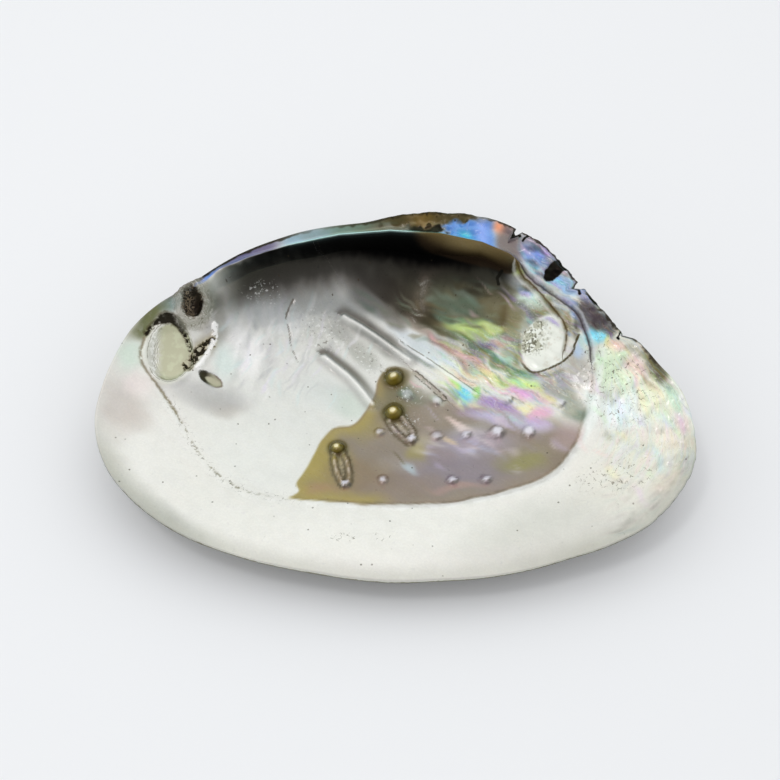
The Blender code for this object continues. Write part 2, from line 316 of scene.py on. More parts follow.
# %% Places of the marks, in mm on the plan
TOOTH_CREST = [
    (-62.0, 33.0), (-52.0, 40.4), (-43.5, 44.7), (-31.6, 49.0),
    (-16.4, 52.7), (-1.0, 54.2), (14.5, 53.0), (26.6, 50.0), (39.0, 43.8),
]
MANTLE_LINE = smooth_line([
    (-72.6, 21.5), (-73.9, 16.0), (-73.0, 12.0), (-68.6, 6.5), (-63.8, 0.0),
    (-60.1, -6.3), (-55.4, -14.0), (-45.4, -23.7), (-33.6, -27.4),
    (-9.1, -29.2), (10.1, -29.4), (24.6, -27.2), (35.3, -24.3),
    (44.2, -20.4), (50.0, -14.0), (53.6, -8.0), (56.0, 0.0), (58.6, 8.0), (59.6, 15.0),
])
STAIN_RING = smooth_line([
    (-30.4, -27.9), (-26.4, -25.6), (-27.2, -22.6), (-25.6, -19.0), (-23.6, -13.5), (-21.0, -6.7),
    (-17.4, -2.6), (-12.0, -1.0), (-9.0, 3.0), (-5.6, 9.0), (-4.6, 14.5),
    (-1.5, 19.0), (3.5, 19.0), (8.0, 16.0), (14.0, 10.0), (22.0, 7.0), (30.0, 11.0),
    (38.0, 12.5), (46.0, 11.0), (53.0, 6.0), (55.6, 0.0),
], 4) + [p for p in MANTLE_LINE[::-1] if -31.0 < p[0] < 54.0 and p[1] < -5.0]
FRONT_SCAR = (-66.0, 17.6, 9.0, 5.8, 78.0)
FRONT_CREASE = smooth_line([
    (-72.6, 21.5), (-70.0, 25.0), (-66.0, 27.2), (-62.8, 24.6), (-60.6, 19.0), (-60.8, 14.0),
])
CRUMBLED = [(-61.6, 14.8), (-59.6, 17.6), (-57.6, 20.4), (-55.0, 23.0)]
SPUR = [(-54.0, 28.0), (-54.0, 23.6), (-56.4, 18.2), (-58.4, 14.6)]
FRONT_PIT = (-54.6, 11.6, 3.8, 1.9, -28.0)
SOCKET = (-59.8, 31.8, 3.6, 2.6, 65.0)
REAR_SCAR = [
    (50.9, 21.0), (50.3, 17.8), (51.3, 15.9), (48.2, 14.3), (42.5, 13.2), (40.0, 14.5),
    (38.5, 17.2), (38.0, 21.9), (38.8, 26.2), (42.0, 28.4), (46.2, 27.9), (49.2, 25.0),
]
SCAR_LIP = smooth_line([
    (54.3, 21.0), (53.2, 18.6), (52.8, 17.1), (51.3, 15.6), (48.2, 14.2), (42.5, 13.0), (39.9, 14.4),
    (38.3, 17.2), (37.8, 21.9), (38.2, 26.0),
])
INNER_FOLD = smooth_line([
    (37.2, 44.0), (39.7, 40.7), (43.2, 36.6), (46.7, 31.1), (49.0, 27.8), (50.9, 23.8), (50.9, 20.8),
    (50.3, 17.8),
])
OUTER_FOLD = smooth_line([
    (38.6, 43.6), (42.8, 38.7), (44.4, 37.3), (49.0, 32.5), (53.9, 27.2), (55.6, 23.0), (57.4, 18.0),
    (57.8, 14.0),
])
UPPER_LOBE = (41.0, 33.8, 4.0, 2.6, -35.0)
# Pearls: place, radius, height, and how pointed they are.
PEARLS = [(0.3, 15.4, 3.0, 3.2, 0.75), (0.1, 3.0, 2.9, 2.8, 0.25), (-16.4, -9.8, 2.3, 2.3, 0.1)]
# Raised threads: points, half width, height, depth of the ditch on the left side.
THREADS = [
    (smooth_line([(-15.4, 35.6), (-8.9, 32.0), (-2.6, 27.7), (4.8, 21.8)]), 1.15, 1.25, 0.55),
    (smooth_line([(-21.4, 22.6), (-14.9, 17.2), (-10.9, 12.8), (-6.4, 6.4)]), 1.15, 1.2, 0.6),
    (smooth_line([(-1.5, 0.4), (-0.1, -2.4), (2.0, -5.2), (4.8, -7.8)]), 0.5, 1.1, 0.0),
    (smooth_line([(2.3, 1.7), (4.0, -0.8), (5.6, -3.8), (5.8, -6.6)]), 0.5, 1.2, 0.0),
    (smooth_line([(-17.4, -11.4), (-17.0, -15.6), (-15.9, -19.4), (-14.4, -22.6)]), 0.5, 1.0, 0.0),
    (smooth_line([(-15.0, -11.2), (-13.6, -14.6), (-12.8, -18.6), (-13.0, -22.2)]), 0.5, 1.0, 0.0),
]
# Beads: place, radius, height.
BEADS = [
    (5.1, -6.6, 1.7, 1.3), (-13.9, -22.8, 1.6, 1.2), (-4.3, -3.9, 1.5, 0.7), (12.6, -5.6, 1.8, 0.7),
    (21.2, -5.6, 1.6, 0.9), (30.4, -5.2, 2.3, 1.2), (39.1, -5.8, 2.0, 1.1), (33.5, 5.8, 1.9, 0.8),
    (-3.2, -21.2, 1.4, 0.9), (16.5, -21.6, 1.5, 1.0), (26.2, -21.6, 1.5, 1.0),
    (12.9, 6.8, 1.6, 0.7), (48.6, 2.6, 1.6, 0.5), (4.0, 9.4, 2.2, 0.5),
]
SCRATCH = smooth_line([(-31.2, 38.6), (-33.4, 34.6), (-32.4, 30.7), (-31.6, 25.5), (-29.4, 20.6)])
FLAKED_STRIP = [(6.8, 17.3), (11.2, 12.4), (15.4, 7.8)]
WING_HOLE = [
    (44.6, 39.6), (45.0, 41.6), (48.2, 44.2), (50.8, 45.6), (53.4, 44.6), (52.4, 41.6), (50.0, 39.2),
    (47.4, 37.5), (45.3, 38.2),
]
STROKE = [(33.2, 43.5), (31.8, 41.4), (32.2, 40.0)]
RIDGE = smooth_line([(2.6, 28.4), (10.4, 22.0), (17.5, 15.8), (24.8, 9.4)])
# Black chips along the broken rim, each a line.
CHIPS = [
    [(37.6, 55.4), (38.3, 52.6)], [(39.2, 51.4), (40.8, 53.0)], [(54.6, 34.6), (54.9, 32.2)],
    [(57.4, 31.6), (60.6, 28.6)], [(60.6, 28.6), (61.6, 27.2)], [(66.8, 20.6), (66.0, 18.4)],
]
# Lines raised (+) or cut (-) along their length: line, height, width.
FINE_LINES = [
    (FRONT_CREASE, -0.9, 0.8), (SPUR, 0.9, 0.9), (SCAR_LIP, 0.45, 0.5), (INNER_FOLD, 0.5, 0.6),
    (OUTER_FOLD, -0.5, 0.55), (SCRATCH, -0.22, 0.55),
]
# Notches broken out of the rim: place, half width, depth.
NOTCHES = [(38.3, 55.0, 1.1, 3.6), (55.6, 35.6, 1.5, 2.6), (67.6, 19.2, 1.4, 1.4)]
print("pearls, threads, beads:", len(PEARLS), len(THREADS), len(BEADS))

# %% [markdown]
# ## Height of the inside
# The marks are raised on the bowl or cut into it.  Long, very low waves and
# fine ripples are added too: they are what makes mother-of-pearl glimmer in
# patches instead of shining like a plate.

# %% Relief of the inside
def dome(gap):
    return np.sqrt(np.clip(1 - gap**2, 0, 1))


def raised_marks(a, b):
    """Height of the pearls, threads and beads, in mm."""
    height = np.zeros(a.shape)
    for at_a, at_b, radius, tall, pointed in PEARLS:
        gap = np.hypot(a - at_a, b - at_b) / radius * (1 + 0.05 * grain(a, b, 2.0, 73))
        skirt = 0.5 * np.exp(-np.clip(gap - 0.9, 0, None) * 4.5)
        round_top = dome(gap) * (1 - pointed) + pointed * np.clip(1.05 - gap, 0, 1)
        height = np.maximum(height, np.maximum(tall * round_top, skirt))
    crinkle = grain(a, b, 1.1, 75)
    for line, half, tall, ditch in THREADS:
        gap, side, _ = trace(a, b, line)
        if half < 1:
            gap = gap + 0.35 * crinkle
            tall = tall * (1 + 0.35 * crinkle)
        round_top = tall * np.exp(-((gap / half) ** 2))
        dug = ditch * side * hump(gap, 1.9, 1.1)
        height = np.where(round_top > 0.08, np.maximum(height, round_top), height) - dug * (side > 0)
    for at_a, at_b, radius, tall in BEADS:
        gap = np.hypot(a - at_a, b - at_b) / radius * (1 + 0.45 * crinkle)
        height = np.maximum(height, tall * dome(gap) ** 0.8 * (1 + 0.35 * crinkle))
    return height


def scar_marks(a, b, reach):
    """Height of the mantle line, scars, folds and scratches, in mm."""
    height = sum(tall * hump(trace(a, b, line)[0], 0, wide) for line, tall, wide in FINE_LINES)
    signed = signed_gap(a, b, MANTLE_LINE)
    outside = ease(-signed, -0.2, 1.6 + 2.0 * (1 - ease(a, -40, -10)))
    fading = 1 - ease(reach, 0.86, 0.99)
    height += (0.10 + 0.65 * ease(a, -30, 20)) * outside * fading
    height -= 0.14 * hump(signed, 0.4, 0.6) * ease(a, -40, 10)
    height += 0.35 * hump(signed, -2.4, 1.4) * ease(a, 10, 50)
    height -= 0.4 * hump(signed, 0.0, 0.5) * (1 - ease(a, -64, -58))

    scar = in_oval(a, b, FRONT_SCAR)
    height -= 1.5 * (1 - ease(scar, 0.74, 1.02))
    height += 0.5 * hump(scar, 1.12, 0.12)
    height -= 0.9 * hump(trace(a, b, CRUMBLED)[0], 0, 1.3) * (0.6 + 0.4 * grain(a, b, 0.9, 3))
    height -= 1.1 * (1 - ease(in_oval(a, b, FRONT_PIT), 0.6, 1.1))
    socket = in_oval(a, b, SOCKET)
    height += 1.9 * hump(socket, 1.25, 0.4) - 1.6 * (1 - ease(socket, 0.3, 1.0))
    height += 0.5 * (1 - ease(socket, 1.2, 2.2)) * grain(a, b, 1.5, 5)

    rear = inside_of(a, b, REAR_SCAR)
    height -= 0.45 * ease(rear, -0.2, 1.0)
    inner, outer = signed_gap(a, b, INNER_FOLD), signed_gap(a, b, OUTER_FOLD)
    height += 0.35 * ease(inner, 0, 1.5) * (1 - ease(inner, 4, 9)) * (a > 36)
    height += 0.4 * ease(outer, 0, 1.2) * (1 - ease(outer, 5, 10)) * (a > 38)
    height += 0.3 * (1 - ease(in_oval(a, b, UPPER_LOBE), 0.5, 1.2)) * grain(a, b, 1.1, 8)
    height -= 0.45 * ease(inside_of(a, b, WING_HOLE), -0.2, 0.3)

    flaked = 1 - ease(trace(a, b, FLAKED_STRIP)[0], 0.7, 1.4)
    height -= 0.35 * flaked * (1 + 0.6 * grain(a, b, 0.8, 11))
    beside = signed_gap(a, b, RIDGE)
    return height + 0.25 * hump(beside, -0.7, 0.6) - 0.12 * hump(beside, 0.2, 0.4)


def texture(a, b, reach):
    """Height of the flutes, pits, wrinkles and waves of the layers, in mm."""
    height = np.zeros(a.shape)
    fluting = hump(a, -43, 11) * hump(b, 23, 15)
    bent_a = a - 0.25 * (b - 20) + 2.5 * grain(a, b, 12, 15, 1)
    height += fluting * (0.30 * np.sin(bent_a * 0.9) + 0.14 * np.sin(bent_a * 1.9 + 1.0))
    pitted = hump(a, -22, 9) * hump(b, 31, 8) + 0.5 * hump(a, -6, 7) * hump(b, 21, 7)
    height += 0.16 * pitted * grain(a, b, 1.3, 13)

    wrinkled = hump(a, -36, 24) * hump(b, 24, 20)
    height += 0.17 * wrinkled * grain(a + 0.3 * b, 0.35 * b, 1.6, 77)
    height += 0.12 * wrinkled * grain(0.4 * a, b - 0.3 * a, 1.8, 91)

    middle = 1 - ease(reach, 0.9, 1.0)
    height += 0.45 * middle * grain(a, b, 22, 17, 1)
    height += 0.13 * middle * grain(a, b, 7, 19, 1) * (1 - hump(b, -42, 10))
    combed = hump(a, 30, 24) * hump(b, 18, 18)
    along, across = 0.74 * a - 0.67 * b, 0.67 * a + 0.74 * b
    height += 0.30 * combed * grain(along * 0.22, across, 2.6, 23)
    height += 0.10 * combed * grain(along * 0.30, across, 1.1, 93)
    tail = ease(a, 52, 64) * (1 - ease(reach, 0.97, 1.0))
    folds = grain(a * 0.45 + 0.35 * b, b - 0.8 * a, 3.6, 29)
    height += tail * (0.55 * folds - 0.35 * np.abs(grain(a, b, 5, 31)))
    height -= 0.5 * tail * hump(grain(a, b, 9, 33, 1), 0, 0.10)
    wing = ease(a, 26, 44) * ease(b, 12, 30) * ease(reach, 0.72, 0.82)
    return height + 0.4 * wing * grain(0.8 * a - 0.6 * b, (0.6 * a + 0.8 * b) * 2.2, 5.0, 37)


# %% [markdown]
# ## Hinge, tooth and the hollow under it
# The tooth is a long blade that locks the two valves together.  It stands on
# a narrow shelf, and the bowl runs back underneath it.  So the surface climbs
# from the shelf to the crest, drops down the blade and is then pulled back
# towards the hinge, which makes a real overhang that holds a shadow.

# %% The two sides of the shell
SHELF_DEPTH = 1.3
TOOTH_HEIGHT = 2.4
CAVE_REACH = 4.2


def inside_surface(reach, angle):
    """The hollow side, as plan places and depth below the rim plane."""
    a, b = plan(reach, angle)
    w = inside_depth(reach, angle)
    crest = np.interp(a, [p[0] for p in TOOTH_CREST], [p[1] for p in TOOTH_CREST])
    below = crest - b
    hinge_run = ease(a, -62, -50) * (1 - ease(a, 34, 42))
    shelf = SHELF_DEPTH * ease(1 - reach, 0.0, 0.05)
    groove = 0.5 * hump(below, -3.2, 1.1) * ease(a, -20, 0) * (1 - ease(a, 22, 32))
    blade = TOOTH_HEIGHT * hump(below, 0.2, 1.2)
    into_bowl = ease(below, 0.4, 2.8)
    hinge_depth = shelf + groove - blade
    hinge_depth = hinge_depth + (w - hinge_depth) * into_bowl
    w = w + (hinge_depth - w) * hinge_run
    cave_run = ease(a, -58, -38) * (1 - ease(a, 26, 38))
    cave = ease(below, 0.8, 3.0) * (1 - ease(below, 4.0, 15.0))
    height = raised_marks(a, b) + scar_marks(a, b, reach) + texture(a, b, reach)
    height *= 1 - 0.75 * hinge_run * ease(b - crest, -3.0, -0.5)
    ragged = ease(a, -5, 8) * (1 - ease(a, 24, 34)) * ease(b - crest, 1.0, 3.0)
    height += 0.45 * ragged * grain(a, b, 2.6, 41)
    return a, b + CAVE_REACH * cave * cave_run, w - height


GROWTH_START = (-43.0, 43.0)


def growth(a, b):
    """0 at the beak of the shell and 1 at the rim, following the growth lines."""
    turn = np.linspace(0, math.tau, 721)
    rim_a, rim_b = plan(np.ones_like(turn), turn)
    heading = np.arctan2(rim_b - GROWTH_START[1], rim_a - GROWTH_START[0])
    far = np.hypot(rim_a - GROWTH_START[0], rim_b - GROWTH_START[1])
    order = np.argsort(heading)
    at = np.arctan2(b - GROWTH_START[1], a - GROWTH_START[0])
    limit = np.interp(at, heading[order], far[order], period=math.tau)
    return np.hypot(a - GROWTH_START[0], b - GROWTH_START[1]) / limit


def outside_surface(reach, angle):
    """The back of the shell, bulging a little past the hinge, ringed by growth lines."""
    a, b = plan(reach, angle)
    w = outside_depth(reach, angle)
    age = growth(a, b)
    wander = grain(a, b, 24, 43, 1)
    rings = 0.10 * np.sin(age * 150 + 2.2 * wander) + 0.05 * np.sin(age * 420 + 4 * wander)
    for rest in (0.34, 0.47, 0.6, 0.7, 0.785, 0.86, 0.925, 0.965):
        step = age - rest + 0.008 * wander
        rings = rings + 0.38 * hump(step, 0.0, 0.008) - 0.22 * hump(step, 0.014, 0.008)
    eroded = 1 - ease(np.hypot(a + 36, (b - 38) * 1.3), 8, 20)
    rings = rings * (1 - 0.8 * eroded) - 0.5 * eroded * (0.6 + 0.4 * grain(a, b, 2.5, 47))
    keel = 0.9 * hump(b - 40 + 0.62 * (a + 40), 0, 7) * ease(a, -30, 0) * (1 - ease(reach, 0.75, 0.98))
    fade = 1 - ease(reach, 0.975, 1.0)
    bulge = HINGE_BULGE * sides(angle)[0] * ease(1 - reach, 0, 0.12) * ease(reach, 0.3, 0.9)
    out = 1 + bulge / np.maximum(reach * rim_distance(angle), 1.0)
    return CENTRE[0] + (a - CENTRE[0]) * out, CENTRE[1] + (b - CENTRE[1]) * out, w + (rings + keel) * fade


print("growth at the lower rim:", round(float(growth(np.array([0.0]), np.array([-52.8]))[0]), 2))

# %% [markdown]
# ## One mesh for both sides
# Each side starts as a flat square grid.  The square is rounded into a disc,
# the disc is stretched to the plan, and every point then sinks to its depth.
# One row of the grid is laid exactly along the tooth, so that its edge stays
# clean, and the rows crowd together just below it.  The two open edges are
# bridged, and the middle of the bridge is pushed out a little for a round lip.

# %% Grid onto plan
COLUMNS = 290
ROWS = 240
CREST_ROW = 0.7
ROW_CROWDING = 0.35


def round_off(u, v):
    """Round a square grid into a disc."""
    x = u * np.sqrt(1 - v**2 / 2)
    y = v * np.sqrt(1 - u**2 / 2)
    return np.clip(np.hypot(x, y), 0, 1), np.arctan2(y, x)


def crest_row(u):
    """The height up the square at which each column crosses the long tooth."""
    columns, back = np.unique(np.round(u, 9), return_inverse=True)
    heights = np.linspace(0.3, 1.0, 141)
    across, up = np.meshgrid(columns, heights)
    a, b = plan(*round_off(across, up))
    below = np.interp(a, [p[0] for p in TOOTH_CREST], [p[1] for p in TOOTH_CREST]) - b
    first = np.argmax(below < 0, axis=0)
    rows = np.arange(len(columns))
    over = below[first, rows]
    under = below[first - 1, rows]
    crossing = heights[first - 1] + (heights[1] - heights[0]) * under / (under - over)
    on_tooth = ease(columns, -0.95, -0.75) * (1 - ease(columns, 0.6, 0.8))
    crossing = np.where(first > 0, crossing, CREST_ROW)
    return (CREST_ROW + (crossing - CREST_ROW) * on_tooth)[back]


def square_to_reach(u, v):
    """Lay the square on the valve with one row of points along the tooth."""
    crossing = crest_row(u)
    above = crossing + (1 - crossing) * (v - CREST_ROW) / (1 - CREST_ROW)
    part = np.clip((v + 1) / (CREST_ROW + 1), 0, 1)
    part = part + ROW_CROWDING * part * (1 - part)
    under = (crossing + 1) * part - 1
    return round_off(u, np.where(v > CREST_ROW, above, under))


def notch_rim(a, b):
    """Pull rim points inwards where chips have broken away, and roughen the broken edge."""
    out_a = a - CENTRE[0]
    out_b = b - CENTRE[1]
    far = np.hypot(out_a, out_b)
    angle = np.arctan2(out_b, out_a)
    edge = ease(far / rim_distance(angle), 0.80, 1.0)
    pull = np.zeros(a.shape)
    for at_a, at_b, half, deep in NOTCHES:
        in_a, in_b = at_a - CENTRE[0], at_b - CENTRE[1]
        sideways = ((a - at_a) * in_b - (b - at_b) * in_a) / math.hypot(in_a, in_b)
        near = np.hypot(a - at_a, b - at_b) < 14
        pull += deep * near * np.clip(1 - np.abs(sideways) / half, 0, 1) ** 0.7
    broken = ease(a, 34, 42) * ease(b, 12, 20)
    pull += 0.45 * broken * (0.5 + 0.5 * grain(a, b, 1.6, 53))
    worn = ease(a, 60, 74) * (1 - ease(b, 4, 14))
    pull += 0.35 * worn * (0.5 + 0.5 * grain(a, b, 2.2, 59))
    scale = 1 - edge**3 * pull / np.maximum(far, 1)
    return CENTRE[0] + out_a * scale, CENTRE[1] + out_b * scale


print("grid squares, inside:", COLUMNS * ROWS)

# %% Growing the shell
KEPT = ("plan_a", "plan_b", "reach", "grid_u", "grid_v", "side")


def lay_on(bm, verts, surface, side):
    """Move the flat grid's points onto one side of the shell, and note their places."""
    u = np.array([vert.co.x for vert in verts])
    v = np.array([vert.co.y for vert in verts])
    reach, angle = square_to_reach(u, v)
    a, b, w = surface(reach, angle)
    a, b = notch_rim(a, b)
    plan_a, plan_b = plan(reach, angle)
    notes = np.column_stack((plan_a, plan_b, reach, u, v, np.full(len(u), side)))
    layers = [bm.verts.layers.float[name] for name in KEPT]
    for vert, at, note in zip(verts, np.column_stack((a, b, -w)) * MM, notes):
        vert.co = at
        for layer, value in zip(layers, note):
            vert[layer] = value


def grow_shell():
    """Both sides of the shell, closed round the rim."""
    bm = bmesh.new()
    for name in KEPT:
        bm.verts.layers.float.new(name)
    bmesh.ops.create_grid(bm, x_segments=COLUMNS // 2, y_segments=ROWS // 2, size=1)
    bmesh.ops.subdivide_edges(bm, edges=[edge for edge in bm.edges if edge.is_boundary], cuts=1)
    outer_count = len(bm.verts)
    bmesh.ops.create_grid(bm, x_segments=COLUMNS, y_segments=ROWS, size=1)
    bm.verts.ensure_lookup_table()
    lay_on(bm, bm.verts[outer_count:], inside_surface, 1.0)
    lay_on(bm, bm.verts[:outer_count], outside_surface, 0.0)

    bmesh.ops.bridge_loops(bm, edges=[edge for edge in bm.edges if edge.is_boundary])
    side = bm.verts.layers.float["side"]
    links = [edge for edge in bm.edges if edge.verts[0][side] != edge.verts[1][side]]
    bmesh.ops.subdivide_edges(bm, edges=links, cuts=1)
    for vert in bm.verts:
        if 0 < vert[side] < 1:
            out = Vector((vert.co.x - CENTRE[0] * MM, vert.co.y - CENTRE[1] * MM, 0))
            vert.co += out.normalized() * RIM_ROUNDING * MM
    return bm


body = grow_shell()
print("points:", len(body.verts), "faces:", len(body.faces))

# %% [markdown]
# ## The colours of the lining
# The lining is cream at the rim, silver in the bowl and turns to dark olive,
# green and rose towards the wing, where the layers are thinnest and split the
# light.  Under the long tooth the dark washes are partly the lining's own olive
# and partly painted shade.  A painter would lay these in as soft washes, large
# ones first.  Here each wash is an oval on the plan with a colour as it looks to
# the eye.  The ovals are bent by a little noise so that none of them shows its shape.

# %% Washes, large to small: place, half length, half width, turn, strength, colour
CREAM = (0.915, 0.91, 0.885)
BOWL_WASHES = [
    (-30, 12, 40, 34, 0, 0.9, (0.885, 0.892, 0.875)),
    (-40, -14, 26, 12, -30, 0.6, (0.915, 0.92, 0.90)),
    (-2, -41, 60, 14, 0, 0.5, (0.93, 0.93, 0.905)),
    (44, -38, 34, 12, 18, 0.85, (0.82, 0.82, 0.79)),
    (-62, -38, 20, 6, -35, 0.6, (0.72, 0.72, 0.70)),
    (66, -22, 18, 14, 20, 0.7, (0.90, 0.89, 0.84)),
    (-70, -14, 14, 18, 10, 0.6, (0.93, 0.93, 0.91)),
    (-77, -2, 7, 10, 10, 0.6, (0.78, 0.745, 0.72)),
    (-74, -5, 6, 5, 30, 0.35, (0.80, 0.77, 0.74)),
    (-76, 14, 4, 7, -30, 0.7, (0.85, 0.93, 0.87)),
    (-74, 6, 5, 5, 0, 0.6, (0.97, 0.92, 0.91)),
    (-71.5, 25.5, 9, 2.2, 50, 0.95, (0.34, 0.36, 0.23)),
    (-64, 32, 6, 2.2, 38, 0.8, (0.50, 0.60, 0.60)),
    (-72.4, 16.5, 2.6, 8.5, -8, 0.9, (0.93, 0.94, 0.90)),
    (-66, 9, 6, 1.4, 8, 0.7, (0.80, 0.80, 0.74)),
    (-57, 29, 3.6, 5.0, -10, 0.8, (0.66, 0.65, 0.62)),
    (-56, 22, 3.0, 5.0, -40, 0.8, (0.62, 0.59, 0.52)),
    (-54, 6, 13, 6.0, -4, 0.75, (0.70, 0.70, 0.70)),
    (-49, 1.5, 6, 3.0, 5, 0.4, (0.74, 0.71, 0.68)),
    (-53.5, 29, 2.6, 8, 10, 0.7, (0.62, 0.62, 0.60)),
    (-56, 33.5, 3.4, 4.6, -20, 0.9, (0.44, 0.46, 0.43)),
    (-48, 27, 3, 9, 14, 0.5, (0.92, 0.93, 0.94)),
    (-44, 22, 6, 10, 5, 0.9, (0.98, 0.98, 0.975)),
    (-51, 17, 4, 6, 0, 0.7, (0.86, 0.93, 0.91)),
    (-38, 36, 12, 5, 8, 0.7, (0.80, 0.82, 0.84)),
    (-38, 24, 2.2, 8, 12, 0.5, (0.80, 0.80, 0.80)),
    (-18, 38, 18, 4.5, 2, 0.8, (0.66, 0.68, 0.67)),
    (-30, 33, 9, 3.0, 15, 0.6, (0.93, 0.95, 0.96)),
    (-22, 30, 11, 7, -20, 0.7, (0.82, 0.83, 0.805)),
    (-10, 24, 8, 3.6, -40, 0.8, (0.70, 0.71, 0.68)),
    (-6, 30, 12, 3.6, -38, 0.85, (0.50, 0.51, 0.49)),
    (-16, 31, 5, 3.0, -30, 0.6, (0.62, 0.63, 0.61)),
    (-16, 9, 8, 4.0, -35, 0.5, (0.76, 0.79, 0.77)),
    (-22, 11, 9, 7, -30, 0.5, (0.84, 0.87, 0.86)),
    (-12, 6, 9, 5, -30, 0.6, (0.80, 0.85, 0.81)),
    (6, 28, 14, 4.0, -42, 0.9, (0.84, 0.88, 0.90)),
]
# Under the long tooth: partly the lining's own dark olive, partly painted shade on the steep wall below the
# hinge.
DARK_WASHES = [
    (18, 42, 30, 9, -12, 1.0, (0.28, 0.285, 0.22)),
    (24, 34, 19, 8, -25, 1.0, (0.36, 0.38, 0.29)),
    (4, 40, 14, 5, -30, 0.9, (0.25, 0.24, 0.19)),
    (11, 35, 8, 3.2, -38, 0.95, (0.25, 0.24, 0.155)),
    (16.5, 31.2, 6, 2.0, -38, 0.95, (0.32, 0.30, 0.18)),
    (20, 38, 9, 3.0, -25, 0.8, (0.30, 0.38, 0.31)),
    (15, 36.5, 3, 1.8, -30, 0.6, (0.26, 0.42, 0.38)),
    (32, 35, 6, 6, 0, 0.8, (0.42, 0.39, 0.26)),
    (34, 31, 4, 5, 0, 0.85, (0.36, 0.31, 0.17)),
    (28, 42.5, 6, 2.4, -14, 0.6, (0.36, 0.36, 0.34)),
    (-4, 43.5, 11, 4, -10, 0.95, (0.17, 0.155, 0.13)),
    (-8, 40, 7, 3, -20, 0.85, (0.38, 0.39, 0.38)),
    (3, 40, 6, 3, -30, 0.85, (0.26, 0.25, 0.21)),
    (36, 29, 3, 7, 0, 0.7, (0.55, 0.53, 0.40)),
    (36, 20, 3, 8, 0, 0.8, (0.60, 0.61, 0.52)),
    (16, 31.5, 10, 1.4, -38, 0.85, (0.36, 0.32, 0.22)),
    (12, 29, 11, 1.3, -40, 0.7, (0.60, 0.53, 0.48)),
    (24, 41, 6, 3, -15, 0.85, (0.19, 0.18, 0.14)),
    (9, 37, 6, 4.5, -35, 0.6, (0.20, 0.19, 0.13)),
    (0, 36, 6, 3.0, -35, 0.6, (0.33, 0.33, 0.30)),
]
STREAK_WASHES = [
    (24, 30.2, 9, 3.0, -22, 1.0, (0.75, 0.85, 0.50)),
    (21, 28.0, 6, 1.5, -30, 0.9, (0.64, 0.74, 0.42)),
    (20, 33.5, 7, 1.3, -25, 0.8, (0.40, 0.56, 0.42)),
    (30, 29, 5, 1.6, -20, 0.8, (0.84, 0.90, 0.62)),
    (15.5, 25.5, 8, 2.0, -40, 0.95, (0.62, 0.50, 0.48)),
    (14, 27.5, 5, 0.9, -40, 0.8, (0.94, 0.70, 0.74)),
    (20.5, 22.6, 9, 1.0, -38, 0.95, (0.82, 0.90, 0.62)),
    (24, 25.5, 9, 1.6, -36, 0.9, (0.36, 0.46, 0.28)),
    (16, 30.4, 5, 1.6, -34, 0.85, (0.36, 0.36, 0.24)),
    (24, 20.6, 5, 1.4, -40, 0.85, (0.40, 0.50, 0.33)),
    (28, 24.0, 5.0, 1.7, -22, 1.0, (0.40, 0.34, 0.50)),
    (33, 24.5, 4, 1.6, -25, 0.8, (0.84, 0.62, 0.62)),
    (31, 18.8, 13, 2.3, -38, 1.0, (0.38, 0.50, 0.36)),
    (36, 15.2, 8, 1.4, -38, 0.8, (0.50, 0.60, 0.44)),
    (26, 21.5, 9, 1.0, -38, 0.7, (0.70, 0.62, 0.56)),
    (23.5, 19.4, 9, 1.6, -38, 0.95, (0.93, 0.70, 0.70)),
    (26, 15.8, 9, 2.0, -34, 0.9, (0.74, 0.58, 0.60)),
    (30, 13.0, 9, 2.2, -26, 0.95, (0.97, 0.93, 0.72)),
    (37, 10.2, 8, 1.9, -26, 0.95, (0.84, 0.97, 0.60)),
    (45, 5.0, 5, 1.8, -30, 0.8, (0.97, 0.90, 0.70)),
    (38, 6.8, 8, 2.0, -26, 1.0, (0.94, 0.70, 0.87)),
    (38, 2.6, 5, 1.4, -18, 0.9, (0.97, 0.93, 0.74)),
    (43.0, 0.0, 4, 2.6, 0, 0.95, (0.92, 0.71, 0.83)),
    (42, -3.6, 4, 2.2, -40, 0.8, (0.86, 0.66, 0.92)),
    (31, 4.4, 9, 2.2, -28, 0.95, (0.68, 0.54, 0.76)),
    (25, 2.0, 9, 2.2, -32, 0.85, (0.66, 0.58, 0.70)),
    (33, -1.0, 11, 3.0, -14, 0.85, (0.80, 0.78, 0.92)),
    (41, -5.0, 6, 2.6, -10, 0.85, (0.78, 0.76, 0.86)),
    (24, -9.5, 5, 3.0, -30, 0.7, (0.78, 0.70, 0.76)),
    (20, -2.0, 6, 1.3, -45, 0.9, (0.98, 0.88, 0.86)),
    (14, 20, 11, 3.0, -45, 0.9, (0.87, 0.91, 0.92)),
    (8, 24.4, 12, 1.0, -42, 0.7, (0.98, 1.0, 1.0)),
    (10, 20.6, 12, 0.9, -42, 0.7, (0.62, 0.65, 0.66)),
    (18, 13.4, 9, 2.0, -44, 0.95, (0.97, 0.98, 0.88)),
    (22.5, 12.2, 6, 1.5, -42, 0.9, (0.98, 0.80, 0.68)),
    (21.2, 9.4, 4.6, 3.2, -28, 1.0, (0.42, 0.88, 1.0)),
    (18.6, 12.2, 3.0, 1.1, -30, 0.95, (0.78, 0.96, 0.52)),
    (19.4, 7.4, 1.6, 1.2, 0, 0.9, (0.95, 0.98, 1.0)),
    (25.4, 8.2, 1.4, 2.6, -10, 0.9, (0.56, 0.86, 0.46)),
    (13.0, 7.2, 2.4, 1.7, -30, 1.0, (0.93, 1.0, 0.93)),
    (5.0, 10.4, 3.6, 2.6, 0, 0.75, (0.50, 0.56, 0.48)),
]
